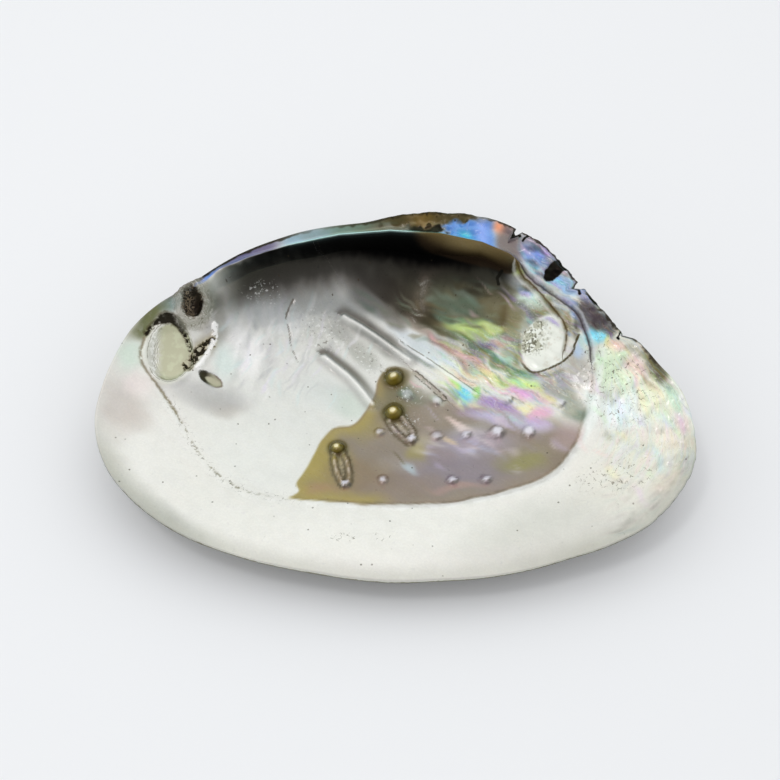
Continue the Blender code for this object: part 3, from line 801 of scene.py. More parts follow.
FLAT_END_WASHES = [
    (48, 9, 7, 6, 0, 0.9, (0.66, 0.64, 0.655)),
    (45, 12.5, 7, 1.2, 4, 0.8, (0.52, 0.50, 0.46)),
    (37.2, 20, 1.6, 6, 0, 0.6, (0.50, 0.50, 0.40)),
    (52, 2, 3.4, 7, 8, 0.85, (0.60, 0.62, 0.57)),
    (53.4, -1.6, 2.2, 3.0, 0, 0.8, (0.44, 0.52, 0.46)),
    (54, 13, 3.6, 6, 0, 0.8, (0.72, 0.71, 0.68)),
    (57.6, 3, 2.2, 14, -12, 0.9, (0.95, 0.99, 0.97)),
    (60.6, 4, 1.2, 12, -10, 0.6, (0.80, 0.84, 0.78)),
    (63, 8, 4, 11, 25, 0.85, (0.90, 0.99, 0.84)),
    (66, -2, 8, 7, 0, 0.9, (0.95, 0.99, 1.0)),
    (73, 1, 6, 8, 20, 0.9, (1.0, 1.0, 0.86)),
    (70, 10, 5, 3, -40, 0.8, (0.96, 0.86, 0.80)),
    (69, 14.6, 4, 1.6, -45, 0.6, (0.62, 0.58, 0.52)),
    (66, 13, 3, 2.5, -30, 0.7, (0.82, 0.95, 0.78)),
    (75.5, 8.8, 7, 1.9, -52, 0.95, (0.42, 0.40, 0.28)),
    (74, 5, 4, 1.2, -50, 0.7, (0.62, 0.56, 0.48)),
    (78, -13, 5, 5, 0, 0.8, (1.0, 0.93, 0.86)),
    (80, 0, 2.2, 7, 10, 0.7, (0.78, 0.92, 0.82)),
    (81, -8, 1.6, 4, 0, 0.7, (0.95, 0.80, 0.84)),
    (80.5, -21, 2.5, 4, 0, 0.6, (0.76, 0.80, 0.74)),
    (76, -24, 7, 3, 40, 0.6, (0.96, 0.90, 0.82)),
]
WING_WASHES = [
    (47, 46, 14, 7, -45, 1.0, (0.52, 0.50, 0.58)),
    (34, 50.5, 4.5, 3.0, -40, 0.9, (0.42, 0.38, 0.36)),
    (42, 46.5, 6, 2.2, -45, 0.95, (0.50, 0.62, 0.90)),
    (45, 50, 5, 2.0, -45, 0.9, (0.68, 0.56, 0.80)),
    (42.5, 43.2, 3.4, 1.4, -50, 0.9, (0.50, 0.78, 0.88)),
    (38.6, 43.0, 2.2, 1.2, -20, 1.0, (0.78, 0.86, 0.50)),
    (49.5, 37, 7, 2.4, -48, 1.0, (0.62, 0.76, 0.95)),
    (53.4, 40.6, 3.0, 1.4, -50, 0.9, (0.50, 0.48, 0.52)),
    (54, 36, 3.6, 1.6, -50, 0.9, (0.66, 0.84, 0.90)),
    (55.5, 32.4, 5.5, 1.7, -48, 0.9, (0.50, 0.50, 0.72)),
    (59.0, 25.0, 8.5, 3.6, -40, 1.0, (0.31, 0.265, 0.285)),
    (63.6, 22.4, 3.2, 2.6, -50, 0.9, (0.47, 0.44, 0.46)),
    (56.6, 29.6, 3.6, 1.6, -45, 0.9, (0.58, 0.54, 0.72)),
    (43, 50.4, 3, 1.4, -45, 0.8, (0.58, 0.52, 0.55)),
    (50.5, 41.0, 5, 1.0, -50, 0.6, (0.56, 0.52, 0.54)),
    (52.2, 28.2, 6, 1.4, -60, 0.95, (0.48, 0.58, 0.78)),
    (53.6, 22.6, 1.8, 3.6, 6, 0.9, (0.34, 0.32, 0.30)),
    (56.4, 22.6, 1.2, 3.6, 14, 0.7, (0.56, 0.56, 0.62)),
    (59.6, 20.2, 3.2, 2.0, -10, 1.0, (0.50, 0.90, 1.0)),
    (62.0, 18.4, 1.4, 2.0, 0, 0.9, (0.95, 0.97, 0.62)),
    (64.5, 16.8, 3.6, 2.0, -25, 0.95, (1.0, 0.84, 0.78)),
    (55.4, 17.5, 2.0, 3.4, 0, 0.8, (0.76, 0.86, 0.98)),
    (41.6, 34.4, 5.2, 2.7, -38, 1.0, (0.90, 1.0, 0.95)),
    (40.0, 37.4, 3.0, 0.8, -45, 0.7, (0.38, 0.38, 0.34)),
    (47, 30.8, 6.0, 1.8, -45, 1.0, (0.58, 0.57, 0.52)),
    (44, 29.8, 4.0, 1.2, -20, 0.8, (0.46, 0.44, 0.32)),
    (37.0, 40.4, 4, 1.6, -45, 0.8, (0.60, 0.62, 0.64)),
    (51.0, 24.5, 1.4, 4.0, 8, 0.85, (0.55, 0.49, 0.37)),
]
STAIN = (0.565, 0.50, 0.45)
STAIN_WASHES = [
    (-20, -16, 9, 14, 20, 1.0, (0.65, 0.57, 0.28)),
    (-8, -2, 5, 7, -30, 0.9, (0.61, 0.54, 0.34)),
    (-10, -20, 11, 8, 0, 0.8, (0.56, 0.46, 0.35)),
    (-22, -25, 8, 2.4, 0, 0.75, (0.68, 0.52, 0.38)),
    (8.4, -9.5, 5, 4.5, 40, 0.9, (0.62, 0.57, 0.37)),
    (1, 10, 8, 10, 0, 0.85, (0.44, 0.40, 0.26)),
    (8, 8.5, 6, 4, -20, 0.85, (0.50, 0.50, 0.43)),
    (13, 2, 7, 5, -20, 0.7, (0.60, 0.55, 0.50)),
    (18, -18, 18, 8, 0, 0.85, (0.54, 0.485, 0.55)),
    (2, -23, 14, 5, 0, 0.6, (0.54, 0.455, 0.42)),
    (22, -9, 16, 6, 0, 0.85, (0.64, 0.595, 0.67)),
    (2, -15, 7, 5, 0, 0.5, (0.62, 0.57, 0.55)),
    (18, -24, 10, 1.6, 4, 0.6, (0.70, 0.55, 0.52)),
    (37, -15.6, 9, 4.0, 12, 1.0, (0.56, 0.53, 0.33)),
    (48, -19, 5, 4, 30, 0.6, (0.48, 0.43, 0.36)),
    (13, -13, 6, 3.4, -20, 0.5, (0.58, 0.50, 0.54)),
    (17, -7, 3.5, 1.2, -45, 0.8, (0.90, 0.80, 0.66)),
    (7, -11, 3.0, 3.4, 0, 0.6, (0.62, 0.56, 0.30)),
    (47, -15, 5, 6, -40, 0.7, (0.52, 0.45, 0.38)),
    (50, -8, 5, 6, -30, 0.75, (0.69, 0.60, 0.60)),
    (5, -16.5, 3.8, 1.5, -48, 0.85, (0.72, 0.78, 0.82)),
    (2.4, -12.6, 3.2, 0.6, -58, 0.7, (0.40, 0.33, 0.22)),
    (4.8, 9.7, 3.4, 2.4, -20, 0.8, (0.42, 0.52, 0.45)),
]
TOP_WASHES = [
    (-71.5, 25.3, 7.0, 1.5, 47, 0.85, (0.47, 0.49, 0.33)),
    (-70.5, 23.4, 5.0, 0.8, 50, 0.5, (0.74, 0.75, 0.66)),
    (59.0, 25.0, 7.5, 3.2, -35, 0.85, (0.30, 0.26, 0.28)),
    (62.0, 21.5, 4.0, 1.6, -42, 0.7, (0.46, 0.43, 0.45)),
    (56.0, 25.0, 3.0, 2.4, -60, 0.5, (0.42, 0.39, 0.42)),
    (64, 9, 4, 7, 20, 0.5, (0.92, 0.99, 0.86)),
    (66, -3, 6, 6, 0, 0.55, (0.94, 0.98, 1.0)),
    (74, 0, 4, 7, 20, 0.5, (0.99, 0.99, 0.86)),
    (17, 27.5, 5.5, 3.5, -40, 0.24, (0.25, 0.25, 0.23)),
    (25, 22, 5.5, 3.5, -40, 0.20, (0.32, 0.27, 0.18)),
    (41, 31, 3.6, 3, 0, 0.28, (0.30, 0.28, 0.22)),
    (-63, 26, 5, 3, 40, 0.2, (0.36, 0.36, 0.28)),
    (-52, 3, 9, 4, 0, 0.12, (0.50, 0.50, 0.47)),
    (0, 10, 5, 4, 0, 0.16, (0.40, 0.39, 0.35)),
    (24, -4, 7, 3.5, 0, 0.26, (0.80, 0.84, 0.87)),
    (8, -7, 5, 4, 0, 0.24, (0.82, 0.77, 0.74)),
    (2.7, -2.6, 4.2, 1.3, -55, 0.6, (0.79, 0.74, 0.66)),
    (5.2, -6.2, 1.6, 1.3, 0, 0.7, (0.88, 0.87, 0.85)),
    (-15.2, -17.4, 5.4, 0.9, -78, 0.6, (0.76, 0.70, 0.60)),
]
SHELF_WASHES = [
    (8, 56, 8, 1.8, 0, 0.34, (0.30, 0.29, 0.20)),
    (-8, 56, 8, 1.6, 0, 0.30, (0.36, 0.38, 0.26)),
    (-24, 54, 7, 1.6, 15, 0.22, (0.40, 0.40, 0.28)),
    (26, 59.5, 6, 1.6, -10, 0.35, (0.62, 0.56, 0.42)),
    (-9, 58.5, 6, 1.0, 5, 0.5, (0.66, 0.68, 0.58)),
]
LINING_WASHES = BOWL_WASHES + DARK_WASHES + FLAT_END_WASHES + STREAK_WASHES + WING_WASHES
print("washes:", len(LINING_WASHES + STAIN_WASHES + TOP_WASHES + SHELF_WASHES))


# %% Laying the washes
def to_linear(seen):
    """A colour as it looks, from 0 to 1, as the light it sends."""
    seen = np.asarray(seen, float)
    return np.where(seen <= 0.04045, seen / 12.92, ((seen + 0.055) / 1.055) ** 2.4)


def bend(a, b):
    """Places shifted a little by noise, more along the streaks, so that no oval shows."""
    along, across = 0.74 * a - 0.67 * b, 0.67 * a + 0.74 * b
    fibres = ease(a, 0, 14) * ease(b, -8, 4)
    fray = fibres * 0.32 * grain(along * 0.12, across, 2.4, 67)
    return (
        a + 1.2 * grain(a, b, 8, 61) + 0.67 * fray,
        b + 1.2 * grain(a, b, 8, 71) + 0.74 * fray,
    )


def lay_washes(colour, a, b, washes, keep=1.0):
    """Blend each wash into the colours."""
    for at_a, at_b, long, short, turn, strength, tint in washes:
        gap = in_oval(a, b, (at_a, at_b, long, short, turn))
        share = (strength * keep * (1 - ease(gap, 0.3, 1.25)))[:, None]
        colour = colour + (np.array(tint) - colour) * share
    return colour


def lay(colour, share, tint):
    """Blend one tint in by a share for each point."""
    return colour + (np.array(tint) - colour) * np.clip(share, 0, 1)[:, None]


# %% [markdown]
# Between the washes lie many small flecks of split light.  They are drawn at
# random, but from a short list of fields: where they lie, how long they are,
# how they are turned and which hues they take.

# %% Flecks
FLECKS = [
    # how many, place, half spread, turn, length, width, strength, hues
    (90, (30, 15), (17, 13), -42, (2.0, 6.0), (0.3, 0.8), 0.42,
     [(0.90, 0.98, 0.62), (0.98, 0.72, 0.78), (0.40, 0.50, 0.36), (0.66, 0.55, 0.72),
      (0.99, 0.93, 0.78), (0.50, 0.42, 0.40), (1.0, 1.0, 0.97), (0.62, 0.86, 0.80)]),
    (60, (70, 0), (13, 22), -66, (2.0, 5.5), (0.5, 1.4), 0.32,
     [(0.80, 0.98, 0.78), (1.0, 0.98, 0.72), (1.0, 0.80, 0.80), (0.72, 0.95, 1.0),
      (0.72, 0.72, 0.64), (1.0, 1.0, 1.0), (0.94, 0.80, 0.98), (0.60, 0.60, 0.50)]),
    (80, (48, 40), (15, 16), -48, (1.2, 4.0), (0.35, 1.0), 0.55,
     [(0.50, 0.70, 0.98), (0.68, 0.56, 0.86), (0.56, 0.92, 0.94), (0.30, 0.28, 0.34),
      (0.90, 0.78, 0.92), (0.44, 0.46, 0.60), (0.90, 0.92, 0.98), (0.34, 0.30, 0.26)]),
    (60, (18, 38), (20, 8), -24, (2.0, 6.0), (0.4, 1.0), 0.4,
     [(0.30, 0.42, 0.34), (0.40, 0.36, 0.22), (0.22, 0.20, 0.13), (0.46, 0.50, 0.40), (0.42, 0.52, 0.46)]),
    (40, (30, -8), (20, 9), -30, (1.5, 5.0), (0.5, 1.4), 0.3,
     [(0.80, 0.74, 0.90), (0.90, 0.78, 0.82), (0.56, 0.50, 0.56), (0.72, 0.76, 0.92), (0.94, 0.90, 0.88)]),
    (110, (-36, 24), (22, 15), 68, (1.5, 5.0), (0.3, 0.9), 0.36,
     [(1.0, 1.0, 1.0), (0.72, 0.73, 0.74), (0.84, 0.93, 0.93), (0.90, 0.88, 0.94)]),
]


def scatter_flecks(colour, a, b):
    """Lay the random flecks of each field."""
    dice = random.Random(5)
    for count, (mid_a, mid_b), (wide, high), turn, lengths, widths, strength, hues in FLECKS:
        for _ in range(count):
            at_a = dice.gauss(mid_a, wide * 0.55)
            at_b = dice.gauss(mid_b, high * 0.55)
            long = dice.uniform(*lengths)
            short = dice.uniform(*widths)
            lie = turn + dice.gauss(0, 9)
            tint = np.array(dice.choice(hues))
            near = np.flatnonzero((np.abs(a - at_a) < long * 1.3) & (np.abs(b - at_b) < long * 1.3))
            gap = in_oval(a[near], b[near], (at_a, at_b, long, short, lie))
            share = (strength * (1 - ease(gap, 0.2, 1.2)))[:, None]
            colour[near] += (tint - colour[near]) * share
    return colour


# %% Painting the lining
def blade_foot(a):
    """How far below its crest the face of the long tooth reaches before it turns under."""
    return np.interp(a, [4, 12, 27, 34, 38], [-0.3, -2.2, -5.4, -3.2, -1.0])


def cave_map(a, tooth):
    """The hollow under the long tooth, which no light reaches, from 0 to 1."""
    deep = np.interp(a, [-54, -40, -24, -6, 10, 24, 32], [0.8, 1.4, 2.6, 4.6, 5.4, 5.8, 4.6])
    below = -tooth + 0.4 * grain(a, tooth, 3.0, 97)
    along = ease(a, -54, -40) * (1 - ease(a, 31, 37))
    return along * ease(-tooth, -0.3, 0.3) * (1 - ease(below, deep - 1.6, deep + 1.8))


def flow_map(a, b):
    """Places along and across the way the layers run: down to the right in the
    bowl, and round with the growth lines in the rear end."""
    along, across = 0.74 * a - 0.67 * b, 0.67 * a + 0.74 * b
    outer = ease(-signed_gap(a, b, MANTLE_LINE), 0, 5) * ease(a, 34, 50)
    around = 78 * np.arctan2(b - CENTRE[1], a - CENTRE[0])
    ringed = 110 * growth(a, b)
    return np.column_stack((along - (along + around) * outer, across + (ringed - across) * outer, 0 * a))


def stretch(x, start, full, fading, gone):
    """1 between full and fading, softly 0 before start and after gone."""
    return ease(x, start, full) * (1 - ease(x, fading, gone))


def lay_all(colour, coats):
    """Lay several tints in turn: share, tint."""
    for share, tint in coats:
        colour = lay(colour, share, tint)
    return colour


def paint_shelf(colour, a, b, tooth):
    """The shelf behind the long tooth, and what is left of the ligament on it."""
    wobble = grain(a, b, 3.0, 83)
    blue = ease(a + 2 * wobble, 14, 17) * (1 - ease(a, 29, 33))
    lower_edge = tooth + 0.8 * wobble - 0.34 * np.clip(a - 10, 0, None)
    ligament = stretch(a, -8, 1, 23, 27) * ease(lower_edge, 2.8, 4.0)
    shelf = lay_all(colour, [
        (1 - ease(a, -54, -48), (0.42, 0.58, 0.90)),
        (stretch(a, -56, -50, -42, -34), (0.36, 0.38, 0.56)),
        (hump(a, -39, 5), (0.50, 0.48, 0.60)),
        (stretch(a, -36, -31, -20, -14), (0.66, 0.76, 0.82)),
        (stretch(a, -24, -16, -6, 0), (0.48, 0.58, 0.53)),
        (stretch(a, -10, -4, 2, 5), (0.52, 0.51, 0.45)),
        (ease(a, 2, 6) * (1 - ease(a + 2 * wobble, 13, 17)), (0.05, 0.05, 0.03)),
        (blue, (0.34, 0.56, 0.86)),
        (blue * hump(a, 22, 2.2) * hump(tooth, 3.0, 1.5), (0.30, 0.80, 0.88)),
        (blue * hump(a, 27, 2.0), (0.52, 0.66, 0.96)),
        (ligament, (0.33, 0.29, 0.17)),
        (ligament * hump(a, 9, 4), (0.50, 0.40, 0.18)),
        (ligament * 0.75 * ease(grain(a, b, 2.4, 87), 0.35, 0.7), (0.12, 0.10, 0.06)),
        (stretch(a, 30, 33, 38, 42), (0.46, 0.41, 0.42)),
        (hump(a, 32.0, 1.8) * hump(b, 56.5, 2.0), (1.0, 0.66, 0.50)),
    ])
    start = -0.4 + 0.8 * ease(a, -36, -28)
    on_shelf = stretch(a, -64, -58, 36, 41) * ease(tooth - start, 0.0, 0.6)
    return colour + (shelf - colour) * on_shelf[:, None]


def paint_tooth(colour, a, b, tooth):
    """Painted shade on the wall and in the hollow under the long tooth, the tooth's brown face with painted
    shade at its foot and a painted highlight near its top, and painted highlights along its crest.
    """
    below = -tooth + 0.5 * grain(a, b, 4.0, 85)
    run = stretch(a, -58, -44, 31, 39)
    low = blade_foot(a)
    face = ease(tooth, low - 0.7, low + 0.3) * (1 - ease(tooth, 0.2, 0.9)) * stretch(a, 3, 9, 36, 40)
    return lay_all(colour, [
        # painted shade: a grey wash down the steep wall under the tooth, and black in the hollow beneath it
        (0.9 * stretch(below, 0, 1, 6.0, 12.5) * run, (0.15, 0.15, 0.13)),
        (0.30 * (1 - ease(a, -10, 6)) * hump(below, 11.5, 5) * run, (0.40, 0.42, 0.42)),
        (cave_map(a, tooth) * ease(-tooth, -0.1, 0.5), (0.012, 0.012, 0.012)),
        # the tooth's own brown face, darkest at its foot as painted shade, with a painted highlight near its
        # top
        (0.96 * face, (0.15, 0.11, 0.07)),
        (0.85 * face * ease(tooth / np.minimum(low, -0.5), 0.75, 0.1), (0.40, 0.34, 0.20)),
        (0.7 * face * hump(tooth, -0.9, 0.7) * hump(a, 22, 9), (0.60, 0.53, 0.38)),
        # painted highlights along the crest of the tooth
        (1.2 * hump(tooth, 0.55, 0.75) * stretch(a, -36, -28, 2, 12), (0.78, 1.0, 0.98)),
        (hump(tooth, 1.0, 0.5) * stretch(a, 0, 6, 24, 30), (0.56, 0.93, 0.86)),
    ])


def paint_edges(colour, a, b, reach):
    """The dark outer edge of the hinge, painted shade greying the lower rim towards its edge, and the broken
    edge of the wing.
    """
    edge = reach + 0.006 * grain(a, b, 3.0, 83)
    dark_edge = ease(edge, 0.982, 0.992) * stretch(a, -70, -60, 22, 32) * (b > 20)
    dark_edge = dark_edge * (1 - 0.7 * hump(a, -22, 8)) * (1 - 0.4 * ease(a, -10, 0))
    broken = ease(edge + 0.008 * grain(a, b, 1.4, 89), 0.985, 0.995) * stretch(a, 22, 32, 74, 79) * (b > 0)
    ends = ease(np.abs(a + 6), 30, 60)
    return lay_all(colour, [
        (0.85 * dark_edge, (0.13, 0.12, 0.07)),
        # painted shade: the lower rim greys towards its sloping outer edge, most at its two ends
        ((0.45 + 0.3 * ends) * ease(reach, 0.90, 1.0) * ease(-b, 2, 22), (0.68, 0.68, 0.64)),
        (0.8 * broken, (0.15, 0.13, 0.10)),
    ])


def paint_stain(colour, bent, a, b):
    """The brown stain in the bowl, mustard along its front edge, lit by the streaks above it."""
    edge = inside_of(a, b, STAIN_RING) + 0.5 * grain(a, b, 6, 79, 1)
    upper = ease(b + 0.35 * (a - 4), 8, 16) * ease(a, -2, 10)
    stain = lay_washes(np.tile(np.array(STAIN), (len(a), 1)), *bent, STAIN_WASHES) * 0.94
    stain = lay_all(stain, [
        (0.85 * (1 - ease(edge, 0.6, 5.5)) * (1 - ease(a, -8, 2)), (0.64, 0.565, 0.27)),
        (0.5 * (1 - ease(edge, 0.2, 1.0)) * ease(a, -24, -14), (0.50, 0.40, 0.32)),
    ])
    glints = lay_washes(stain, *bent, STREAK_WASHES, 0.85)
    stain = stain + (glints - stain) * (ease(b, -12, -3) * ease(a, 8, 16))[:, None]
    return colour + (stain - colour) * (ease(edge, -0.5, 0.3) * (1 - upper))[:, None]


def paint_raised(colour, a, b):
    """Painted shade in the ditches beside the two long threads and painted highlights on their crests, brown
    around the pearls, dark outlines and pale crests on the tails, and painted shade and a painted highlight
    on the two sides of each bead.
    """
    for line, deep in ((THREADS[0][0], 0.85), (THREADS[1][0], 0.95)):
        gap, way, along = trace(a, b, line)
        fade = 1 - 0.6 * ease(along, 8, 26)
        colour = lay_all(colour, [
            # painted shade in the ditch on one side of the thread, a lighter painted shade on its other side,
            # and a painted highlight along its crest
            (deep * fade * hump(gap * way, 1.9, 1.3), (0.36, 0.36, 0.34)),
            (0.4 * hump(gap * way, -1.9, 1.0), (0.62, 0.62, 0.60)),
            (0.9 * hump(gap, 0, 0.8), (0.98, 0.98, 0.96)),
        ])
    for at_a, at_b, radius, *_ in PEARLS:
        gap = np.hypot(a - at_a, b - at_b) / radius
        colour = lay(colour, 0.8 * (1 - ease(gap, 1.0, 1.7)), (0.34, 0.30, 0.13))
    colour = lay(colour, 0.6 * hump(np.hypot(a - 3.6, b - 16.6), 0, 2.0), (0.36, 0.31, 0.18))
    speckle = grain(a, b, 0.9, 99)
    for line, *_ in THREADS[2:]:
        gap, _, _ = trace(a, b, line)
        colour = lay(colour, 0.75 * hump(gap + 0.3 * speckle, 1.05, 0.5), (0.28, 0.23, 0.14))
        colour = lay(colour, 0.75 * hump(gap, 0, 0.5) * ease(speckle, -0.4, 0.2), (0.84, 0.78, 0.73))
    uneven = 0.35 * grain(a, b, 1.0, 101)
    for at_a, at_b, radius, tall in BEADS:
        gap = np.hypot(a - at_a - 0.2, b - at_b - 0.3) / radius
        lee = np.clip((0.6 * (a - at_a) - 0.8 * (b - at_b)) / radius, -1, 1) + uneven
        lit = min(0.95, 0.6 * tall + 0.25) * (1 - ease(gap, 0.5, 0.95))
        # painted shade on the side of each bead away from the light and a painted highlight on the side
        # towards it
        colour = lay(colour, 0.7 * (1 - ease(gap, 0.85, 1.35)) * ease(lee, 0.25, 0.75), (0.34, 0.31, 0.32))
        colour = lay(colour, lit * (1 - ease(lee, 0.1, 0.6)), (0.90, 0.89, 0.93))
    return colour


def paint_lining(a, b, reach, tooth):
    """The colour of the lining at every point."""
    bent = bend(a, b)
    colour = lay_washes(np.tile(np.array(CREAM), (len(a), 1)), *bent, LINING_WASHES)
    colour = paint_stain(colour, bent, a, b)
    colour = scatter_flecks(colour, *bent)
    colour = lay_washes(colour, *bent, TOP_WASHES)
    colour = paint_raised(colour, a, b)
    colour = paint_shelf(colour, a, b, tooth)
    colour = paint_tooth(colour, a, b, tooth)
    colour = paint_edges(colour, a, b, reach)
    colour = lay_washes(colour, *bent, SHELF_WASHES)
    return to_linear(np.clip(colour, 0, 1))


# %% Where the lining is pitted, cracked and lustrous
PITTED = [
    (-22, 31, 9, 6, -20, 1.0), (-8, 22, 9, 4, -40, 0.9), (5, 10, 5, 4, 0, 0.9), (41, 34, 5, 3, -38, 0.8),
    (62, 6, 5, 10, 20, 0.35), (-60, 31, 6, 6, 0, 0.9), (47, 9, 8, 2.5, 0, 0.5), (4, -1, 3, 6, -50, 0.6),
    (-40, 38, 6, 2.5, 10, 0.7),
]
CRACKED = [
    (-14, -40.5, 5, 1.6, 0), (-3, -40, 3, 1.6, 0), (62, -22, 12, 6, 10), (66, 4, 12, 12, 0),
    (60, 12, 6, 9, 0),
]


def pitted_map(a, b):
    """Where the lining is rough and full of small pits, from 0 to 1."""
    return np.max([spot[5] * (1 - ease(in_oval(a, b, spot), 0.5, 1.3)) for spot in PITTED], axis=0)


def scribble_map(a, b):
    """Where fine hair cracks show, from 0 to 1."""
    front = (1 - ease(a, -34, -18)) * (1 - ease(b, 0, 8))
    front = 0.9 * front * hump(signed_gap(a, b, MANTLE_LINE), 0.0, 1.6)
    return np.max([front] + [1 - ease(in_oval(a, b, spot), 0.6, 1.2) for spot in CRACKED], axis=0)


def lustre_map(a, b):
    """How strongly the lining splits light, from 0 to 1."""
    streaks = 1 - ease(in_oval(a, b, (33, 14, 28, 17, -25)), 0.4, 1.1)
    wing = ease(a, 36, 46) * ease(b, 14, 26)
    end = ease(a, 56, 64) * ease(b, -30, -14)
    return np.clip(0.05 + 0.75 * streaks + 0.6 * wing + 0.55 * end, 0, 1)

# %% [markdown]
# ## Setting it down
# The valve leans over to the slope it rests at, lower rim down, and a small
# spot at its lowest point is worn flat so that it sits firmly.  It is then
# centred on the solid.

# %% Lean, wear flat and set down
def rest_on_ground(bm):
    """Lean the shell over, level its lowest spot and put that spot on the ground."""
    cosine, sine = math.cos(RESTING_SLOPE), math.sin(RESTING_SLOPE)
    at = np.array([vert.co for vert in bm.verts])
    y = at[:, 1] * cosine - at[:, 2] * sine
    z = at[:, 1] * sine + at[:, 2] * cosine
    ground = z.min() + WORN_AWAY * MM
    z = np.maximum(z, ground) - ground
    x = at[:, 0]
    x = x - (x.min() + x.max()) / 2 + (solid_low.x + solid_high.x) / 2
    y = y - (y.min() + y.max()) / 2 + (solid_low.y + solid_high.y) / 2
    for vert, place in zip(bm.verts, np.column_stack((x, y, z))):
        vert.co = place


rest_on_ground(body)
body.normal_update()
bmesh.ops.recalc_face_normals(body, faces=body.faces)
top = max(vert.co.z for vert in body.verts)
print("height above the ground, mm:", round(top / MM, 1), "solid:", round(solid_high.z / MM, 1))

# %% [markdown]
# ## What the finishes need to know
# Every point carries its place on the plan and how far it lies from the
# mantle line, the scars, the folds and the pearls.  The finishes read these as
# attributes, so that each colour stays on its own part of the shell.

# %% Attributes
NEAR_LINES = {
    "scar_lip": SCAR_LIP, "front_crease": FRONT_CREASE, "crumbled": CRUMBLED, "scratch": SCRATCH,
    "stroke": STROKE, "spur": SPUR,
}
BESIDE_LINES = {
    "mantle": MANTLE_LINE, "inner_fold": INNER_FOLD, "outer_fold": OUTER_FOLD, "strip": FLAKED_STRIP,
    "ridge": RIDGE,
}
WITHIN_RINGS = {"rear_scar": REAR_SCAR, "wing_hole": WING_HOLE}
IN_OVALS = {"socket": SOCKET, "front_scar": FRONT_SCAR, "pit": FRONT_PIT}
# Where the painted highlight sits on each pearl, as a share of its radius.
GLINT_SHIFT = (-0.14, 0.08)


def marks_on(a, b, reach, tooth):
    """What each point knows about the marks around it."""
    marks = {key: trace(a, b, line)[0] for key, line in NEAR_LINES.items()}
    marks.update({key: signed_gap(a, b, line) for key, line in BESIDE_LINES.items()})
    marks.update({key: inside_of(a, b, ring) for key, ring in WITHIN_RINGS.items()})
    marks.update({key: in_oval(a, b, oval) for key, oval in IN_OVALS.items()})
    marks["chips"] = np.min([trace(a, b, line)[0] for line in CHIPS], axis=0)
    pearls = [((a - at_a) / radius, (b - at_b) / radius) for at_a, at_b, radius, *_ in PEARLS]
    marks["gold"] = np.max([1 - np.hypot(x, y) for x, y in pearls], axis=0)
    marks["tip"] = np.min([np.hypot(x - GLINT_SHIFT[0], y - GLINT_SHIFT[1]) for x, y in pearls], axis=0)
    marks["cave"] = cave_map(a, tooth)
    marks["age"] = growth(a, b)
    marks["reach"] = reach
    marks["lustre"] = lustre_map(a, b)
    marks["pitted"] = pitted_map(a, b)
    marks["scribbles"] = scribble_map(a, b)
    return marks


def store(mesh, name, kind, field, values):
    """Keep one value, vector or colour for every point."""
    layer = mesh.attributes.new(name, kind, "POINT")
    layer.data.foreach_set(field, values.astype(np.float32).ravel())


def mesh_from(bm, name):
    """A smooth mesh object with the marks stored on its points."""
    layers = [bm.verts.layers.float[key] for key in KEPT]
    places = np.array([[vert[layer] for layer in layers] for vert in bm.verts])
    for layer in reversed(layers):
        bm.verts.layers.float.remove(layer)
    side = places[:, 5]
    mesh = bpy.data.meshes.new(name)
    bm.to_mesh(mesh)
    bm.free()
    mesh.shade_smooth()
    a, b, reach = places[:, 0], places[:, 1], places[:, 2]
    crest = np.interp(a, [p[0] for p in TOOTH_CREST], [p[1] for p in TOOTH_CREST])
    for key, value in marks_on(a, b, reach, b - crest).items():
        store(mesh, key, "FLOAT", "value", value)
    store(mesh, "side", "FLOAT", "value", side)
    store(mesh, "plan", "FLOAT_VECTOR", "vector", np.column_stack((a, b, 0 * a)))
    store(mesh, "flow", "FLOAT_VECTOR", "vector", flow_map(a, b))
    lining = paint_lining(a, b, reach, b - crest)
    store(mesh, "lining", "FLOAT_COLOR", "color", np.column_stack((lining, np.ones(len(a)))))
    return mesh, places, side


shell_mesh, places, side = mesh_from(body, "mussel_shell")
shell = bpy.data.objects.new("mussel_shell", shell_mesh)
bpy.context.scene.collection.objects.link(shell)
print("triangles:", sum(len(face.vertices) - 2 for face in shell_mesh.polygons))

# %% [markdown]
# ## A map for the finishes
# When the finishes are baked to pictures, each side of the shell gets half of
# the square.  The grid's own rows and columns make the map, because they are
# already crowded where the shape is busy.  The rim goes round the inside.

# %% Map
def lay_map(mesh, places, side):
    """The two sides of the shell as two halves of one square."""
    layer = mesh.uv_layers.new(name="OFBake")
    corner = np.empty(len(mesh.loops), np.int32)
    mesh.loops.foreach_get("vertex_index", corner)
    starts = np.empty(len(mesh.polygons), np.int32)
    mesh.polygons.foreach_get("loop_start", starts)
    least = np.minimum.reduceat(side[corner], starts)
    most = np.maximum.reduceat(side[corner], starts)
    sizes = np.diff(np.append(starts, len(corner)))
    on_lip = np.repeat((least < 1) & (most > 0), sizes)
    outside = np.repeat(most == 0, sizes)
    u, v = places[corner, 3], places[corner, 4]
    spread = 1 + 0.03 * (1 - side[corner]) * on_lip
    x = np.where(outside, 0.5 + 0.48 * u, 0.5 + 0.465 * u * spread)
    y = np.where(outside, 0.25 + 0.23 * v, 0.75 + 0.225 * v * spread)
    layer.data.foreach_set("uv", np.column_stack((x, y)).astype(np.float32).ravel())


lay_map(shell_mesh, places, side)
print("map:", shell_mesh.uv_layers[0].name)

# %% [markdown]
# ## Floor and light
# Mother-of-pearl shows what it reflects.  A wide soft box overhead and a
# little behind the hinge lights the rim and leaves the deep side of the bowl
# in shade; a weaker one on the left and a pale room fill in the rest.  What
# shines is given a darker front than the fill light has, as a photographer
# does with a black card, so that the dark side of the bowl stays dark.

# %% Floor, lights and room
ROOM_FRONT = 0.90
ROOM_BACK = 0.79
GLOSS_FRONT = 0.0
GLOSS_BACK = 1.3


